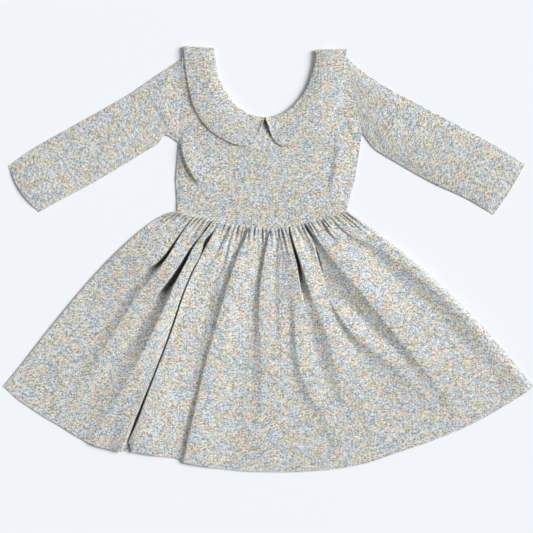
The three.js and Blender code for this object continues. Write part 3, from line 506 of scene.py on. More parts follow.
def fan_grid(columns, rows, places):
    middle = mix(MIDDLE_START, 1 - MIDDLE_START, crowded(columns, places))
    across = np.concatenate([SIDE_COLUMNS, middle, 1 - SIDE_COLUMNS[::-1]])
    down = np.concatenate([WAIST_ROWS, np.linspace(ROW_START, 1, rows) ** ROW_CROWDING - ROW_LIFT])
    down[-1] = 1
    return np.meshgrid(across, down)


def raised(plan, height):
    """Plan points with their heights."""
    return np.concatenate([plan, height[..., None]], 2)


# %% Skirt front
SIDE_MIDDLE = 1.2
TUCKED = 2.6
SKIRT_WRINKLES = [(0.35, 34, 3), (0.15, 13, 4)]
HEM_SINK, HEM_SINK_WIDTH = 1.4, 90
HEM_DEPTH, HEM_END = 14, 8
across, down = fan_grid(470, 92, DENSER)
beyond = read_table(HEM_LINE, across)
notch = NOTCH_DEEP * np.maximum(1 - np.abs(across - NOTCH_AT) / NOTCH_WIDE, 0)
flat = skirt_point(across, down, beyond)
plan = skirt_point(across, down, beyond - notch)
height, lean, shade = skirt_surface(across, down)
ripple = wrinkles(flat[..., 0], flat[..., 1], SKIRT_WRINKLES)
height += ripple * smooth(0, 0.1, down) * off_the_sides(across, 0.05)
row_width = (flat[:, -1, 0] - flat[:, 0, 0])[:, None]
height -= edge_roll(np.minimum(across, 1 - across) * row_width, height - SIDE_MIDDLE)
hem_distance = (1 - down) * SKIRT_LENGTH
sink = np.minimum(settle(hem_distance, HEM_SINK, HEM_SINK_WIDTH), height - SIDE_MIDDLE)
height -= sink + edge_roll(hem_distance, 0.3, 1.2)
height = np.maximum(mix(TUCKED, height, smooth(-0.003, 0.005, down)), LEAST_HEIGHT)
tangent = np.gradient(plan, axis=1)
tangent /= np.linalg.norm(tangent, axis=2, keepdims=True)
points = raised(plan + lean[..., None] * tangent, height)
cloth("skirt_front", points, flat + row_excess(points, flat), shade=shade)
SEWN = {"hem": row_at(points, down[:, 0], 1 - HEM_DEPTH / SKIRT_LENGTH)[HEM_END:-HEM_END]}
print(f"the highest fold is {height.max():.1f} mm up")

# %% [markdown]
# The back panel is hidden, so it is finished plainly: flat on the surface, gathered at the waist like
# the front, and 2 mm shorter so that it never shows below the hem.

# %% Skirt back
BACK_SHORTER = 2
BACK_PUFF = 1.4
across, down = fan_grid(170, 50, [])
flat = skirt_point(across, down, read_table(HEM_LINE, across) - BACK_SHORTER)
swell = mix(0.3, 1, smooth(0, 0.03, down)) * (1 - smooth(0.03, 0.115, down))
puff = (1 - np.cos(2 * np.pi * GATHERS * across)) / 2
points = raised(flat, LEAST_HEIGHT + BACK_PUFF * swell * puff)
cloth("skirt_back", points, flat + row_excess(points, flat))

# %% [markdown]
# ## The bodice
#
# The neck opening is half an ellipse. The panel is drawn as a horseshoe round it: every row runs round
# the neck from shoulder to shoulder, and the rows step outwards to the armholes, the side seams and the
# waist. A square grid would leave a ragged neck. A few creases show where the cloth is dragged under the
# arms.

# %% Bodice height
NECK_X, NECK_Y, NECK_HALF, NECK_DEPTH = -5.0, 315.5, 75.0, 102.0
SHOULDER_LEFT, SHOULDER_RIGHT = np.array([-129.0, 302.0]), np.array([118.5, 302.5])
UNDERARM_LEFT, UNDERARM_RIGHT = np.array([-134.5, 175.0]), np.array([140.5, 189.5])
SIDE_LEFT, SIDE_RIGHT = np.array([-138.5, 122.0]), np.array([130.5, 122.0])
BODICE_LOFT = 2.6
CREASES = [
    # from, to, bow, rise, steep flank, gentle flank
    ((-134, 180), (-104, 110), -6, 5, 3, 34),  # lap under the left arm
    ((102, 200), (86, 84), 4, 2.6, 9, 30),  # drag down the right side
    ((117, 212), (128, 184), 0, 1.6, 6, 14),  # right armhole
    ((-178, 236), (-150, 196), 3, 1.8, 8, 20),  # pull on the left sleeve
    ((190, 214), (158, 186), 3, 1.8, 8, 20),  # pull on the right sleeve
]


def neck_distance(x, y):
    reach = np.hypot(x - NECK_X, y - NECK_Y)
    size = np.hypot((x - NECK_X) / NECK_HALF, (y - NECK_Y) / NECK_DEPTH)
    return reach * (1 - 1 / np.maximum(size, 0.5))


def collar_lift(x, y):
    """What lies near the neck is lifted by the collar's back half under it."""
    return LAYER * (1 - smooth(48, 62, neck_distance(x, y)))


def crease_height(x, y):
    total = np.zeros(np.shape(x))
    for start, end, bow, rise, steep, gentle in CREASES:
        start, end = np.array(start, float), np.array(end, float)
        length = np.linalg.norm(end - start)
        ux, uy = (end - start) / length
        dx, dy = x - start[0], y - start[1]
        swell = np.sin(np.pi * np.clip((dx * ux + dy * uy) / length, 0, 1))
        distance = -dx * uy + dy * ux - bow * swell
        total += rise * np.sqrt(np.maximum(swell, 0)) * fold_shape(distance, steep, gentle)
    return total


def bodice_height(x, y):
    middle = smooth(0, 60, x - SIDE_LEFT[0]) * smooth(0, 60, SIDE_RIGHT[0] - x)
    seam_y = waist_point((x - WAIST_LEFT[0]) / (WAIST_RIGHT[0] - WAIST_LEFT[0]))[..., 1]
    ends = smooth(0, 40, y - seam_y) * smooth(0, 30, neck_distance(x, y))
    edge = smooth(0, 12, x - SIDE_LEFT[0]) * smooth(0, 12, SIDE_RIGHT[0] - x + 6)
    return LAYER + collar_lift(x, y) + BODICE_LOFT * middle * ends + edge * crease_height(x, y)


# %% Bodice outline
NECK_START = math.radians(3)
CORNER_INSET = 4.5


def bodice_edge(armhole, side, waist):
    """The panel's outer edge from the left shoulder tip round to the right one."""
    def steps(count):
        return np.linspace(0, 1, count, endpoint=False)[:, None]

    across = steps(waist)[:, 0]
    seam = waist_point(across)
    seam[:, 0] += CORNER_INSET * (1 - 2 * across)
    corner_right = waist_point(np.array(1.0)) - [CORNER_INSET, 0]
    return np.concatenate([
        mix(SHOULDER_LEFT, UNDERARM_LEFT, steps(armhole)),
        mix(UNDERARM_LEFT, SIDE_LEFT, steps(side)),
        mix(SIDE_LEFT, seam[0], steps(side)),
        seam,
        mix(corner_right, SIDE_RIGHT, steps(side)),
        mix(SIDE_RIGHT, UNDERARM_RIGHT, steps(side)),
        mix(UNDERARM_RIGHT, SHOULDER_RIGHT, steps(armhole)),
        SHOULDER_RIGHT[None],
    ])


def bodice_plan(counts, rows):
    edge = bodice_edge(*counts)
    turn = np.linspace(NECK_START, math.pi - NECK_START, len(edge))
    neck = np.stack([NECK_X - NECK_HALF * np.cos(turn), NECK_Y - NECK_DEPTH * np.sin(turn)], -1)
    return mix(neck[None], edge[None], np.linspace(0, 1, rows)[:, None, None])


print("chest:", UNDERARM_RIGHT[0] - UNDERARM_LEFT[0], "mm across")

# %% [markdown]
# The front panel sinks into the side seams. At centre front the two collar leaves stand a little off the
# cloth, and a few spots of painted shade, one below the other, darken the hollow under them. The back
# panel lies flat.

# %% Bodice panels
BODICE_WRINKLES = [(0.3, 30, 5), (0.12, 11, 6)]
SEAM_SINK = 1.1
HOLLOW_SHADE = 0.95
SHADE_SPOTS = [(-5, 208, 3.5), (-4.5, 203, 5.5), (-3, 197, 5.5), (-0.5, 191, 4.5), (3, 185, 3.5)]
plan = bodice_plan((34, 20, 110), 84)
x, y = plan[..., 0], plan[..., 1]
edge_distance = np.linalg.norm(plan - plan[-1][None], axis=2)
relief = wrinkles(x, y, BODICE_WRINKLES) * smooth(0, 25, edge_distance) * smooth(5, 40, neck_distance(x, y))
side_seam = smooth(76, 92, plan[-1][:, 1]) * (1 - smooth(172, 188, plan[-1][:, 1]))
height = bodice_height(x, y) + WALL + relief
height -= edge_roll(edge_distance, 0.1, 1.2) + side_seam * settle(edge_distance, SEAM_SINK)
# painted shade: dark spots in the hollow under the collar leaves at centre front
hollow = sum(1 - smooth(0, reach, np.hypot(x - at_x, y - at_y)) for at_x, at_y, reach in SHADE_SPOTS)
cloth("bodice_front", raised(plan, height), plan, shade=HOLLOW_SHADE * np.clip(hollow, 0, 1))

plan = bodice_plan((16, 10, 50), 20)
height = collar_lift(plan[..., 0], plan[..., 1]) + LEAST_HEIGHT
cloth("bodice_back", raised(plan, height), plan * [-1, 1])

# %% [markdown]
# ## Collar
#
# Each leaf is a double layer of cloth that lies on the bodice from centre front, rolls over the folded
# shoulder and goes on down the back to centre back. Three sheets would need hiding where they meet. One
# grid makes all three stretches, so the roll is continuous.

# %% Collar leaves
LEAF_EDGE = [
    # distance from centre front, height up the draft
    (1.2, 211), (7.2, 194), (11.6, 180.5), (21, 171.2), (34.5, 169), (52, 174), (74, 186), (93, 204),
    (107, 228), (115, 258), (120.5, 291),
]
LEAF_TURNS = np.radians([0, 5, 10, 15, 22, 32, 43, 54, 65, 75, 84])
LEAF_SHARES = np.array([0, 0.012, 0.03, 0.055, *np.linspace(0.085, 0.93, 26), 0.955, 0.975, 0.99, 1])
SHOULDER_FOLD = {
    "left": np.array([(-80, 316.8), (-127, 320)]),
    "right": np.array([(70.5, 314.5), (117.8, 315.5)]),
}
BACK_WIDTH, BACK_START, BACK_ROWS = 40, math.radians(82), 60
LEAF_WALL, LEAF_GAP, LEAF_WIDTH = 1.4, 0.5, 47
LEAF_STEPS, BEND_ROWS = 14, 11
COLLAR_ROLL = 0.8
COLLAR_STAND, STAND_REACH = 3.5, 0.22
NECK_CLEAR = 0.6


def smooth_line(points, count):
    """Catmull-Rom through a few points, with count steps to each stretch."""
    p = np.array(points, float)
    p = np.concatenate([2 * p[:1] - p[1:2], p, 2 * p[-1:] - p[-2:-1]])
    t = np.linspace(0, 1, count, endpoint=False)[:, None]
    stretches = [
        0.5 * (2 * b + (c - a) * t + (2 * a - 5 * b + 4 * c - d) * t**2 + (3 * b - a - 3 * c + d) * t**3)
        for a, b, c, d in zip(p, p[1:], p[2:], p[3:])
    ]
    return np.concatenate([*stretches, p[-2:-1]])


def leaf_height(plan, share):
    roll = COLLAR_ROLL * np.sin(np.pi * np.minimum(share * 2, 1))
    return bodice_height(plan[..., 0], plan[..., 1]) + WALL + LEAF_GAP + LEAF_WALL + roll


def leaf_front(mirror):
    """Plan and height of the leaf's front, from centre front up to the shoulder."""
    outer = smooth_line(LEAF_EDGE, LEAF_STEPS) * [mirror, 1] + [NECK_X, 0]
    along = np.linspace(0, 1, len(outer))
    turn = np.interp(along, np.linspace(0, 1, len(LEAF_TURNS)), LEAF_TURNS)
    inner_x = NECK_X + mirror * (NECK_HALF * np.sin(turn) + NECK_CLEAR)
    inner = np.stack([inner_x, NECK_Y - NECK_DEPTH * np.cos(turn)], -1)
    leaf = mix(inner[:, None], outer[:, None], LEAF_SHARES[None, :, None])
    stand = COLLAR_STAND * (1 - smooth(0, STAND_REACH, along))[:, None] * np.sin(np.pi * LEAF_SHARES / 2)
    to_edge = np.linalg.norm(leaf - leaf[:, -1:], axis=2)
    to_neck = np.linalg.norm(leaf - leaf[:, :1], axis=2)
    height = leaf_height(leaf, LEAF_SHARES) + stand
    return leaf, height - edge_roll(to_edge, 1.1, 1.5) - edge_roll(to_neck, 1.6, 2.2)


def collar(side):
    mirror = -1 if side == "left" else 1
    share = LEAF_SHARES
    leaf, height = leaf_front(mirror)
    fold = mix(*SHOULDER_FOLD[side], share[:, None])
    middle = leaf_height(fold, share) / 2
    radius = middle - edge_roll(share * LEAF_WIDTH, 0.5, 2.2)
    radius -= edge_roll((1 - share) * LEAF_WIDTH, 0.5, 1.5)
    angles = np.linspace(0, np.pi, BEND_ROWS)[:, None]
    bend_x = np.broadcast_to(fold[:, 0], (BEND_ROWS, len(share)))
    bend_y = fold[:, 1] - radius + radius * np.sin(angles)
    bend = np.stack([bend_x, bend_y, middle + radius * np.cos(angles)], -1)
    turn = np.linspace(BACK_START, 0, BACK_ROWS)[:, None]
    reach = BACK_WIDTH * share
    back = np.stack([
        NECK_X + mirror * ((NECK_HALF + reach) * np.sin(turn) + SEAM_GAP),
        NECK_Y - (NECK_DEPTH + reach) * np.cos(turn),
        np.zeros((BACK_ROWS, len(share))),
    ], -1)
    arc = np.pi * radius.mean()
    bend_cut = np.stack([bend_x, fold[:, 1] + arc * angles / np.pi], -1)
    back_cut = back[..., :2] * [1, -1] + [0, 2 * SHOULDER_FOLD[side][0][1] + arc]
    points = np.concatenate([raised(leaf, height), bend, back])
    cut = np.concatenate([leaf, bend_cut, back_cut])
    cloth(f"collar_{side}", points, cut, LEAF_WALL, flip=side == "right")


for side in ("left", "right"):
    collar(side)

# %% [markdown]
# ## Sleeves
#
# A sleeve is a tube pressed flat. Each section is a ring: over the top from one pressed edge to the
# other, round it, and back along the flat underside. Two sheets would show a gap at the pressed edges.
# The first ring is tucked in under the armhole.

# %% Sleeves
SLEEVES = {
    # top edge and lower edge of each section, from the armhole to the cuff
    "left": [((-129.4, 301.4), (-135, 175.4)), ((-150, 288), (-154, 186)), ((-176, 270.5), (-166, 173)),
             ((-208, 248.5), (-180, 164.5)), ((-237, 231.5), (-200, 152)), ((-300.5, 196), (-256, 118.5)),
             ((-351.5, 167), (-305, 92.3)), ((-389.6, 140.5), (-343.8, 71.2))],
    "right": [((118.9, 302), (141.1, 189.7)), ((133, 289), (149, 178)), ((153, 274), (159.5, 165.5)),
              ((186, 253.5), (172, 157)), ((226.5, 232), (195, 143.5)), ((290.4, 198.6), (247, 114.2)),
              ((341.6, 170.2), (296, 92)), ((384.6, 143), (337.7, 67.5))],
}
SLEEVE_LENGTH, SLEEVE_STEPS, SLEEVE_COLUMNS = 290, 20, 44
SLEEVE_LOFT, CUFF_LOFT = 4.2, 0.25
SLEEVE_WRINKLES = [(0.35, 26, 7), (0.15, 10, 8)]
ARMHOLE_TUCK, ARMHOLE_DROP = 2.5, 0.9
CUFF_BOW = {"left": 5.5, "right": 2}
CUFF_DEPTH, CUFF_END, CUFF_SINK = 12, 3, 1.2
EDGE_INSETS = np.array([0, 0.25, 0.7, 1.4, 2.4, 4])
EDGE_SINK, SLEEVE_RIM = 1.3, 0.6


def steps_along(line):
    """How far along a line of points each of them is."""
    return np.cumsum(np.linalg.norm(np.diff(line, axis=-2, prepend=line[..., :1, :]), axis=-1), axis=-1)


def sleeve(side):
    outward = -1 if side == "left" else 1
    tucked = [-outward * ARMHOLE_TUCK, 0]
    lines = (smooth_line(line, SLEEVE_STEPS) for line in zip(*SLEEVES[side]))
    tops, lows = (np.concatenate([line[:1] + tucked, line]) for line in lines)
    along = np.concatenate([[0], np.linspace(0, 1, len(tops) - 1)])[:, None]
    width = np.linalg.norm(lows - tops, axis=1)[:, None]
    bow = CUFF_BOW[side] * smooth(0.8, 1, along)

    def place(inset):
        """Plan points at distances in from the sleeve's top edge."""
        t = inset / width
        bulge = bow * np.sin(np.pi * np.clip(t, 0, 1))
        away = np.stack([outward * (tops - lows)[:, 1], -np.abs((tops - lows)[:, 0])], -1) / width
        return mix(tops[:, None], lows[:, None], t[..., None]) + bulge[..., None] * away[:, None]

    last = EDGE_INSETS[-1]
    inner = mix(last, width - last, np.linspace(0, 1, SLEEVE_COLUMNS)[None, 1:-1])
    upper_insets = np.concatenate([0 * width + EDGE_INSETS, inner, width - EDGE_INSETS[::-1]], 1)
    lower_insets = upper_insets[:, ::-3][:, 1:-1]
    upper, lower = place(upper_insets), place(lower_insets)
    x, y = upper[..., 0], upper[..., 1]
    edges = smooth(0, 12, upper_insets) * smooth(0, 12, width - upper_insets)
    loft = SLEEVE_LOFT * np.sin(np.pi * np.clip(upper_insets / width, 0, 1))
    loft *= mix(1, CUFF_LOFT, along) * smooth(-0.1, 0.8, along)
    relief = crease_height(x, y) + wrinkles(x, y, SLEEVE_WRINKLES) * smooth(0, 0.1, along)
    height = LAYER + WALL + loft + collar_lift(x, y) + edges * relief
    height[0] -= ARMHOLE_DROP
    rim = np.minimum(upper_insets, width - upper_insets)
    height -= settle(rim, EDGE_SINK) + edge_roll(rim, LAYER + WALL - EDGE_SINK - SLEEVE_RIM, 1.2)
    height -= edge_roll(along * SLEEVE_LENGTH, 0.1, 1.5) + settle((1 - along) * SLEEVE_LENGTH, CUFF_SINK)
    face = raised(upper, np.maximum(height, LEAST_HEIGHT))
    low_rim = np.minimum(lower_insets, width - lower_insets)
    points = np.concatenate([face, raised(lower, edge_roll(low_rim, SLEEVE_RIM, 1.2))], 1)
    around = steps_along(points)
    down_sleeve = np.broadcast_to(steps_along((tops + lows) / 2)[:, None], around.shape)
    cut = np.stack([around, down_sleeve], -1)
    SEWN[f"cuff_{side}"] = row_at(face, along[:, 0], 1 - CUFF_DEPTH / SLEEVE_LENGTH)[CUFF_END:-CUFF_END]
    cloth(f"sleeve_{side}", points, cut, tube=True, flip=side == "right")


for side in ("left", "right"):
    sleeve(side)

# %% [markdown]
# ## The printed cotton
#
# The cloth is a fine matt cotton with a dense scatter of tiny flowers: pale blue, cream and peach
# blossoms, sage leaves and olive specks, none larger than a fingernail. An image would be the usual way,
# but cells of Voronoi noise do it without one: each cell is a blossom, its angle round the centre cuts
# the petals, and a random value for each cell picks its colour.

# %% Node helpers
def put(tree, sockets, values):
    """Fills sockets one by one: a link for another socket, a constant for a value, nothing for None."""
    for socket, value in zip(sockets, values):
        if isinstance(value, bpy.types.NodeSocket):
            tree.links.new(value, socket)
        elif value is not None:
            socket.default_value = value


def node(tree, kind, **values):
    """A new node. Each value goes to its setting of that name, or else to its input."""
    made = tree.nodes.new(kind)
    for key, value in values.items():
        if hasattr(made, key):
            setattr(made, key, value)
        else:
            put(tree, [made.inputs[key]], [value])
    return made


def math_node(tree, operation, *values, clamp=False):
    made = node(tree, "ShaderNodeMath", operation=operation, use_clamp=clamp)
    put(tree, made.inputs, values)
    return made.outputs[0]


def vector_math(tree, operation, a, b):
    made = node(tree, "ShaderNodeVectorMath", operation=operation)
    put(tree, made.inputs, (a, b))
    return made.outputs[0]


def mix_colour(tree, factor, a, b, blend="MIX"):
    made = node(tree, "ShaderNodeMix", data_type="RGBA", blend_type=blend)
    put(tree, (made.inputs["Factor"], made.inputs[6], made.inputs[7]), (factor, a, b))
    return made.outputs[2]


def linear(r, g, b):
    """A screen colour from 0 to 255 as linear light."""
    def channel(c):
        return c / 12.92 if c <= 0.04045 else ((c + 0.055) / 1.055) ** 2.4

    return (*(channel(v / 255) for v in (r, g, b)), 1)


def palette(tree, value, colours):
    """Picks one of the colours, each for its share, by a value from 0 to 1."""
    ramp = tree.nodes.new("ShaderNodeValToRGB")
    ramp.color_ramp.interpolation = "CONSTANT"
    start = 0.0
    for i, (share, colour) in enumerate(colours):
        stop = ramp.color_ramp.elements[0] if i == 0 else ramp.color_ramp.elements.new(start)
        stop.position = start
        stop.color = linear(*colour)
        start += share
    last = ramp.color_ramp.elements[-1]
    if last.position == 1:
        last.color = linear(*colours[-1][1])
    put(tree, ramp.inputs, [value])
    return ramp.outputs[0]


# %% Scattered shapes
FULL_TURN = 6.28
PETAL_EDGE = 14
SEED_STEP = (3.7, 1.9)


def cells(tree, vector, size, seed):
    """Scattered cells size apart: distance from the centre, angle round it, and three random values."""
    place = vector_math(tree, "ADD", vector, (seed * SEED_STEP[0], seed * SEED_STEP[1], 0))
    made = node(tree, "ShaderNodeTexVoronoi", voronoi_dimensions="2D", Scale=1 / (size * MM), Vector=place)
    away = vector_math(tree, "SUBTRACT", place, made.outputs["Position"])
    parts = node(tree, "ShaderNodeSeparateXYZ", Vector=away)
    angle = math_node(tree, "ARCTAN2", parts.outputs["Y"], parts.outputs["X"])
    random = node(tree, "ShaderNodeSeparateColor", Color=made.outputs["Color"])
    return made.outputs["Distance"], angle, random.outputs


def petals(tree, distance, angle, spin, count, radius, depth):
    """1 inside a flower with count petals, 0 outside."""
    turned = math_node(tree, "MULTIPLY_ADD", angle, count, math_node(tree, "MULTIPLY", spin, FULL_TURN))
    edge = math_node(tree, "MULTIPLY_ADD", math_node(tree, "SINE", turned), depth, radius)
    inside = math_node(tree, "SUBTRACT", edge, distance)
    return math_node(tree, "MULTIPLY", inside, PETAL_EDGE, clamp=True)


def both(tree, a, b):
    """Where two shapes overlap, or a shape made fainter by a number."""
    return math_node(tree, "MULTIPLY", a, b)


def patches(tree, cut, scale, shift=(0, 0, 0)):
    """Soft patches from 0 to 1 for colours that drift over the cloth."""
    place = vector_math(tree, "ADD", cut, shift)
    noise = node(tree, "ShaderNodeTexNoise", noise_dimensions="2D", Scale=scale, Detail=1.0, Vector=place)
    return math_node(tree, "MULTIPLY_ADD", noise.outputs["Fac"], 5.0, -2.0, clamp=True)


# %% [markdown]
# A printer lays one colour over another, and so do these layers: a ground that drifts between cool and
# warm, leaves, large blossoms, small blossoms with an ochre heart, dark and light specks, and ringed
# buds. The shapes are drawn on slightly warped cloth, so none of them is a perfect disc. Last, the shade
# held by the cloth is painted into the print: painted shade deep in the slits, between the gathers' puffs
# and under the collar leaves, and a fine noise stands in for the weave.

# %% Printed cotton
COOL_GROUND, WARM_GROUND = (185, 198, 212), (207, 196, 180)
# IN_SHADE is the colour of painted shade, mixed into the print where the cloth holds shade
SAGE_TINT, ROSE_TINT, IN_SHADE = (0.96, 1.02, 0.95, 1), (1.05, 0.97, 1.0, 1), (0.16, 0.15, 0.14, 1)
COOL_BLOSSOMS = [(0.4, (180, 192, 209)), (0.35, (207, 213, 222)), (0.25, (176, 187, 194))]
WARM_BLOSSOMS = [(0.4, (221, 199, 185)), (0.3, (220, 215, 201)), (0.3, (204, 198, 172))]
SMALL_BLOSSOMS = [(0.4, (228, 228, 222)), (0.3, (196, 202, 206)), (0.3, (214, 207, 192))]
LEAVES = [(0.4, (164, 171, 158)), (0.3, (174, 178, 162)), (0.3, (156, 166, 167))]
# the print's near-white dots and bud centres, a colour of the cloth itself
SPECK, PALE_DOT, HEART = (74, 78, 66), (255, 254, 248), (186, 170, 124)
SCATTER = {
    # the size of a cell in millimetres and its seed
    "leaf": (3.4, 5), "blossom": (8.5, 1), "small blossom": (4.4, 2), "speck": (2.2, 7), "bud": (2.7, 9),
}
WARP, WARP_SCALE = 0.0007, 160.0
WARM_SCALE, ROSE_SCALE, ROSE_SHIFT = 62.0, 90.0, (3.1, 1.7, 0)
WEAVE_SCALE, WEAVE_DEPTH = 1400.0, 0.0003


def print_colour(tree, cut):
    """The print's colour, layer over layer."""
    def below(value, limit):
        return math_node(tree, "LESS_THAN", value, limit)

    def above(value, limit):
        return math_node(tree, "GREATER_THAN", value, limit)

    drift = node(tree, "ShaderNodeTexNoise", noise_dimensions="2D", Scale=WARP_SCALE, Detail=1.0, Vector=cut)
    centred = vector_math(tree, "SUBTRACT", drift.outputs["Color"], (0.5, 0.5, 0))
    drawn = vector_math(tree, "ADD", cut, vector_math(tree, "MULTIPLY", centred, (WARP, WARP, WARP)))
    warm = patches(tree, cut, WARM_SCALE)
    colour = mix_colour(tree, warm, linear(*COOL_GROUND), linear(*WARM_GROUND))

    distance, angle, random = cells(tree, drawn, *SCATTER["leaf"])
    leaf = petals(tree, distance, angle, random[0], 2, 0.3, 0.2)
    shown = below(random[1], 0.75)
    colour = mix_colour(tree, both(tree, leaf, shown), colour, palette(tree, random[2], LEAVES))

    distance, angle, random = cells(tree, drawn, *SCATTER["blossom"])
    flower = petals(tree, distance, angle, random[0], 5, 0.38, 0.1)
    cool_blossom, warm_blossom = (palette(tree, random[1], kind) for kind in (COOL_BLOSSOMS, WARM_BLOSSOMS))
    colour = mix_colour(tree, flower, colour, mix_colour(tree, warm, cool_blossom, warm_blossom))

    distance, angle, random = cells(tree, drawn, *SCATTER["small blossom"])
    flower = petals(tree, distance, angle, random[0], 5, 0.3, 0.08)
    shown = below(random[2], 0.7)
    colour = mix_colour(tree, both(tree, flower, shown), colour, palette(tree, random[1], SMALL_BLOSSOMS))
    colour = mix_colour(tree, both(tree, below(distance, 0.1), shown), colour, linear(*HEART))

    distance, angle, random = cells(tree, drawn, *SCATTER["speck"])
    speck = below(distance, 0.33)
    dark = both(tree, speck, below(random[0], 0.4))
    bright = both(tree, speck, above(random[0], 0.68))
    colour = mix_colour(tree, both(tree, dark, 0.95), colour, linear(*SPECK))
    colour = mix_colour(tree, bright, colour, linear(*PALE_DOT))

    distance, angle, random = cells(tree, drawn, *SCATTER["bud"])
    shown = above(random[0], 0.68)
    ring, bud = (both(tree, below(distance, size), shown) for size in (0.42, 0.29))
    colour = mix_colour(tree, both(tree, ring, 0.7), colour, linear(*SPECK))
    colour = mix_colour(tree, bud, colour, linear(*PALE_DOT))
    tint = mix_colour(tree, patches(tree, cut, ROSE_SCALE, ROSE_SHIFT), SAGE_TINT, ROSE_TINT)
    return mix_colour(tree, warm, colour, mix_colour(tree, 1.0, colour, tint, "MULTIPLY"))


def printed_cotton():
    material = bpy.data.materials.new("printed cotton")
    material.use_nodes = True
    tree = material.node_tree
    shader = tree.nodes["Principled BSDF"]
    cut = node(tree, "ShaderNodeUVMap", uv_map="cut").outputs[0]
    colour = print_colour(tree, cut)
    # painted shade: the shade each piece holds darkens the print towards IN_SHADE
    held = node(tree, "ShaderNodeAttribute", attribute_name="shade")
    dimmed = mix_colour(tree, 1.0, colour, IN_SHADE, "MULTIPLY")
    put(tree, [shader.inputs["Base Color"]], [mix_colour(tree, held.outputs["Fac"], colour, dimmed)])
    weave = node(tree, "ShaderNodeTexNoise", noise_dimensions="2D", Scale=WEAVE_SCALE, Detail=2.0, Vector=cut)
    bump = node(tree, "ShaderNodeBump", Strength=0.35, Distance=WEAVE_DEPTH, Height=weave.outputs["Fac"])
    put(tree, [shader.inputs["Normal"]], [bump.outputs[0]])
    shader.inputs["Roughness"].default_value = 0.9
    shader.inputs["Specular IOR Level"].default_value = 0.2
    shader.inputs["Sheen Weight"].default_value = 0.12
    shader.inputs["Sheen Roughness"].default_value = 0.6
    return material


cotton = printed_cotton()
print("printed cotton:", len(cotton.node_tree.nodes), "nodes")

# %% [markdown]
# Each piece takes the place of its solid and gets the printed cotton. The table lists the flat cut each
# would be sewn from: how large it is, how it is held and what it lies on.

# %% Cloth pieces
CUTS = {
    # node: width and length of the flat cut in metres, its area, how it is held, what it lies on
    "bodice_front": ((0.275, 0.25), 0.056, "laid", "bodice_back"),
    "bodice_back": ((0.275, 0.25), 0.056, "laid", "surface"),
    "skirt_front": ((1.0, 0.375), 0.278, "gathered", "skirt_back"),
    "skirt_back": ((1.0, 0.375), 0.278, "gathered", "surface"),
    "sleeve_left": ((0.24, 0.31), 0.054, "laid", "surface"),
    "sleeve_right": ((0.24, 0.31), 0.054, "laid", "surface"),
    "collar_left": ((0.12, 0.3), 0.0165, "folded", "bodice_front"),
    "collar_right": ((0.12, 0.3), 0.0165, "folded", "bodice_front"),
}
for node_name, (flat_size, area, held, under) in CUTS.items():
    piece = bpy.data.objects[f"{node_name}_cloth"]
    piece.data.materials.append(cotton)
    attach(piece, "root")
    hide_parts(node_name)
print("cloth pieces:", len(CUTS))

# %% [markdown]
# ## Stitches
#
# The hem and the cuffs are turned up inside and sewn down with a single row of pale thread, which shows
# on the face as a line of short bars. Each row follows the cloth it is sewn through, so the path is read
# from the cloth's own grid, and Geometry Nodes set the bars along it at a steady pitch. A bump texture
# would be lighter, but it could not lie on top of the folds or stand out of the cloth.

# %% A row of stitches
BAR_SEGMENTS, BAR_RINGS = 6, 5
STITCH_SEED = 4
SHORTEST_BAR, LONGEST_BAR = 0.42, 0.52
THREAD_LIFT = 0.05


def stitch_tree():
    tree = bpy.data.node_groups.new("row of stitches", "GeometryNodeTree")
    sockets = tree.interface
    sockets.new_socket("Path", in_out="INPUT", socket_type="NodeSocketGeometry")
    for name, value in (("Pitch", 2.8), ("Stitch length", 2.1), ("Thread width", 0.32)):
        sockets.new_socket(name, in_out="INPUT", socket_type="NodeSocketFloat").default_value = value * MM
    sockets.new_socket("Seed", in_out="INPUT", socket_type="NodeSocketInt").default_value = STITCH_SEED
    sockets.new_socket("Thread", in_out="INPUT", socket_type="NodeSocketMaterial")
    sockets.new_socket("Row", in_out="OUTPUT", socket_type="NodeSocketGeometry")
    given, result = tree.nodes.new("NodeGroupInput").outputs, tree.nodes.new("NodeGroupOutput")
    curve = node(tree, "GeometryNodeMeshToCurve", Mesh=given["Path"]).outputs["Curve"]
    points = node(tree, "GeometryNodeCurveToPoints", mode="LENGTH", Curve=curve, Length=given["Pitch"])
    bar = node(tree, "GeometryNodeMeshUVSphere", Segments=BAR_SEGMENTS, Rings=BAR_RINGS)
    turn = node(tree, "FunctionNodeAxesToRotation", primary_axis="X", secondary_axis="Z")
    put(tree, [turn.inputs["Primary Axis"]], [points.outputs["Tangent"]])
    put(tree, [turn.inputs["Secondary Axis"]], [(0, 0, 1)])
    uneven = node(tree, "FunctionNodeRandomValue", data_type="FLOAT", Seed=given["Seed"])
    limits = [s for s in uneven.inputs if s.enabled and s.name in ("Min", "Max")]
    put(tree, limits, (SHORTEST_BAR, LONGEST_BAR))
    random_value = [s for s in uneven.outputs if s.enabled][0]
    length = math_node(tree, "MULTIPLY", given["Stitch length"], random_value)
    thick = math_node(tree, "MULTIPLY", given["Thread width"], 0.5)
    size = node(tree, "ShaderNodeCombineXYZ", X=length, Y=thick, Z=thick)
    placed = node(
        tree, "GeometryNodeInstanceOnPoints", Points=points.outputs["Points"], Instance=bar.outputs["Mesh"],
        Rotation=turn.outputs["Rotation"], Scale=size.outputs[0],
    )
    real = node(tree, "GeometryNodeRealizeInstances", Geometry=placed.outputs[0])
    dyed = node(tree, "GeometryNodeSetMaterial", Geometry=real.outputs[0], Material=given["Thread"])
    put(tree, result.inputs, [dyed.outputs[0]])
    return tree


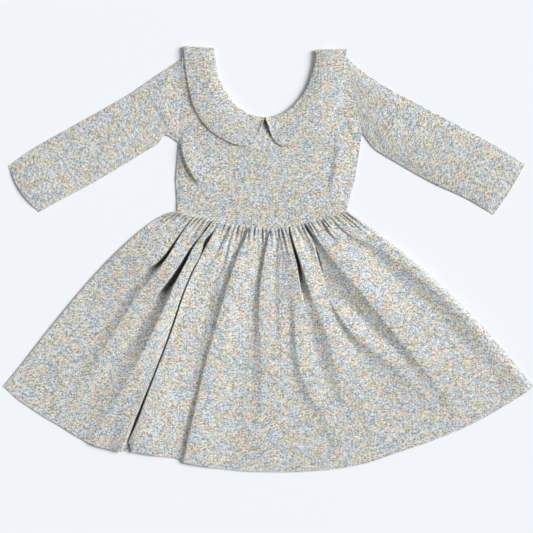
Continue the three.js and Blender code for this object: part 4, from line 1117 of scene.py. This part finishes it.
def stitch_row(name, path, tree, thread):
    """Thread sewn along a path of points in millimetres, as a plain mesh."""
    lifted = (path + SHIFT + [0, 0, THREAD_LIFT]) * MM
    mesh = bpy.data.meshes.new(name)
    mesh.from_pydata(lifted.tolist(), [(i, i + 1) for i in range(len(path) - 1)], [])
    piece = add_piece(name, mesh)
    sewing = piece.modifiers.new("sewing", "NODES")
    sewing.node_group = tree
    socket = {item.name: item.identifier for item in tree.interface.items_tree}
    sewing[socket["Thread"]] = thread
    evaluated = piece.evaluated_get(bpy.context.evaluated_depsgraph_get())
    piece.data = bpy.data.meshes.new_from_object(evaluated)
    piece.modifiers.clear()
    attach(piece, "root")
    print(f"{name}: {len(piece.data.polygons)} faces")


# %% Hem and cuffs
THREAD, SURFACE_COLOUR = (224, 222, 214), (243, 246, 250)


def plain_material(name, colour, roughness):
    made = bpy.data.materials.new(name)
    made.use_nodes = True
    shader = made.node_tree.nodes["Principled BSDF"]
    shader.inputs["Base Color"].default_value = linear(*colour)
    shader.inputs["Roughness"].default_value = roughness
    return made


thread = plain_material("sewing thread", THREAD, 0.6)
sewing_tree = stitch_tree()
for name, path in SEWN.items():
    stitch_row(f"{name}_stitches", path, sewing_tree, thread)

# %% [markdown]
# ## Surface, light and camera
#
# The photograph looks straight down on a pale surface in soft daylight from the right. A large soft
# light on the right makes the left flanks of the folds dark, and a pale surround fills them. A studio of
# several lamps would flatten the folds again.

# %% Surface
FLOOR_HALF, FLOOR_DROP = 4, -0.4 * MM
corners = [(-1, -1), (1, -1), (1, 1), (-1, 1)]
mesh = bpy.data.meshes.new("surface")
mesh.from_pydata([(x * FLOOR_HALF, y * FLOOR_HALF, FLOOR_DROP) for x, y in corners], [], [(0, 1, 2, 3)])
mesh.materials.append(plain_material("pale surface", SURFACE_COLOUR, 0.7))
add_piece("surface", mesh)
print("the surface is", 2 * FLOOR_HALF, "metres wide")

# %% Light
AMBIENT = 0.31
WINDOW_HEIGHT = math.radians(35)
WINDOW_TURN = math.radians(18)
WINDOW_SPREAD = math.radians(34)
scene = bpy.context.scene
scene.view_settings.view_transform = "Standard"
world = bpy.data.worlds.new("soft surround")
scene.world = world
world.use_nodes = True
world.node_tree.nodes["Background"].inputs["Color"].default_value = (0.96, 0.98, 1, 1)
world.node_tree.nodes["Background"].inputs["Strength"].default_value = AMBIENT
window = bpy.data.lights.new("window", "SUN")
window.energy = math.pi * (1.0 - AMBIENT) / math.sin(WINDOW_HEIGHT)
window.angle = WINDOW_SPREAD
window_lamp = add_piece("window", window)
window_lamp.rotation_euler = (0, math.pi / 2 - WINDOW_HEIGHT, WINDOW_TURN)
print(f"window light: {window.energy:.2f}, surround: {AMBIENT}")

# %% [markdown]
# The photograph's pixels are 1.5 mm wide, by the usual size of such a dress. The camera stands high
# enough to see the folds almost without perspective, and a little off the draft's middle, where the
# photograph's middle is.

# %% Camera
PHOTO_PIXELS, PIXEL = 533, 1.5
CAMERA_HEIGHT = 2.2
SENSOR = 36
FROM_DRAFT_X, FROM_DRAFT_Y = -2.55, -10.5
camera_data = bpy.data.cameras.new("overhead")
camera_data.sensor_width = SENSOR
camera_data.lens = SENSOR * CAMERA_HEIGHT / (PHOTO_PIXELS * PIXEL * MM)
camera = add_piece("overhead", camera_data)
camera.location = ((SHIFT[0] + FROM_DRAFT_X) * MM, (SHIFT[1] + FROM_DRAFT_Y) * MM, CAMERA_HEIGHT)
scene.camera = camera
print(f"lens: {camera_data.lens:.1f} mm")
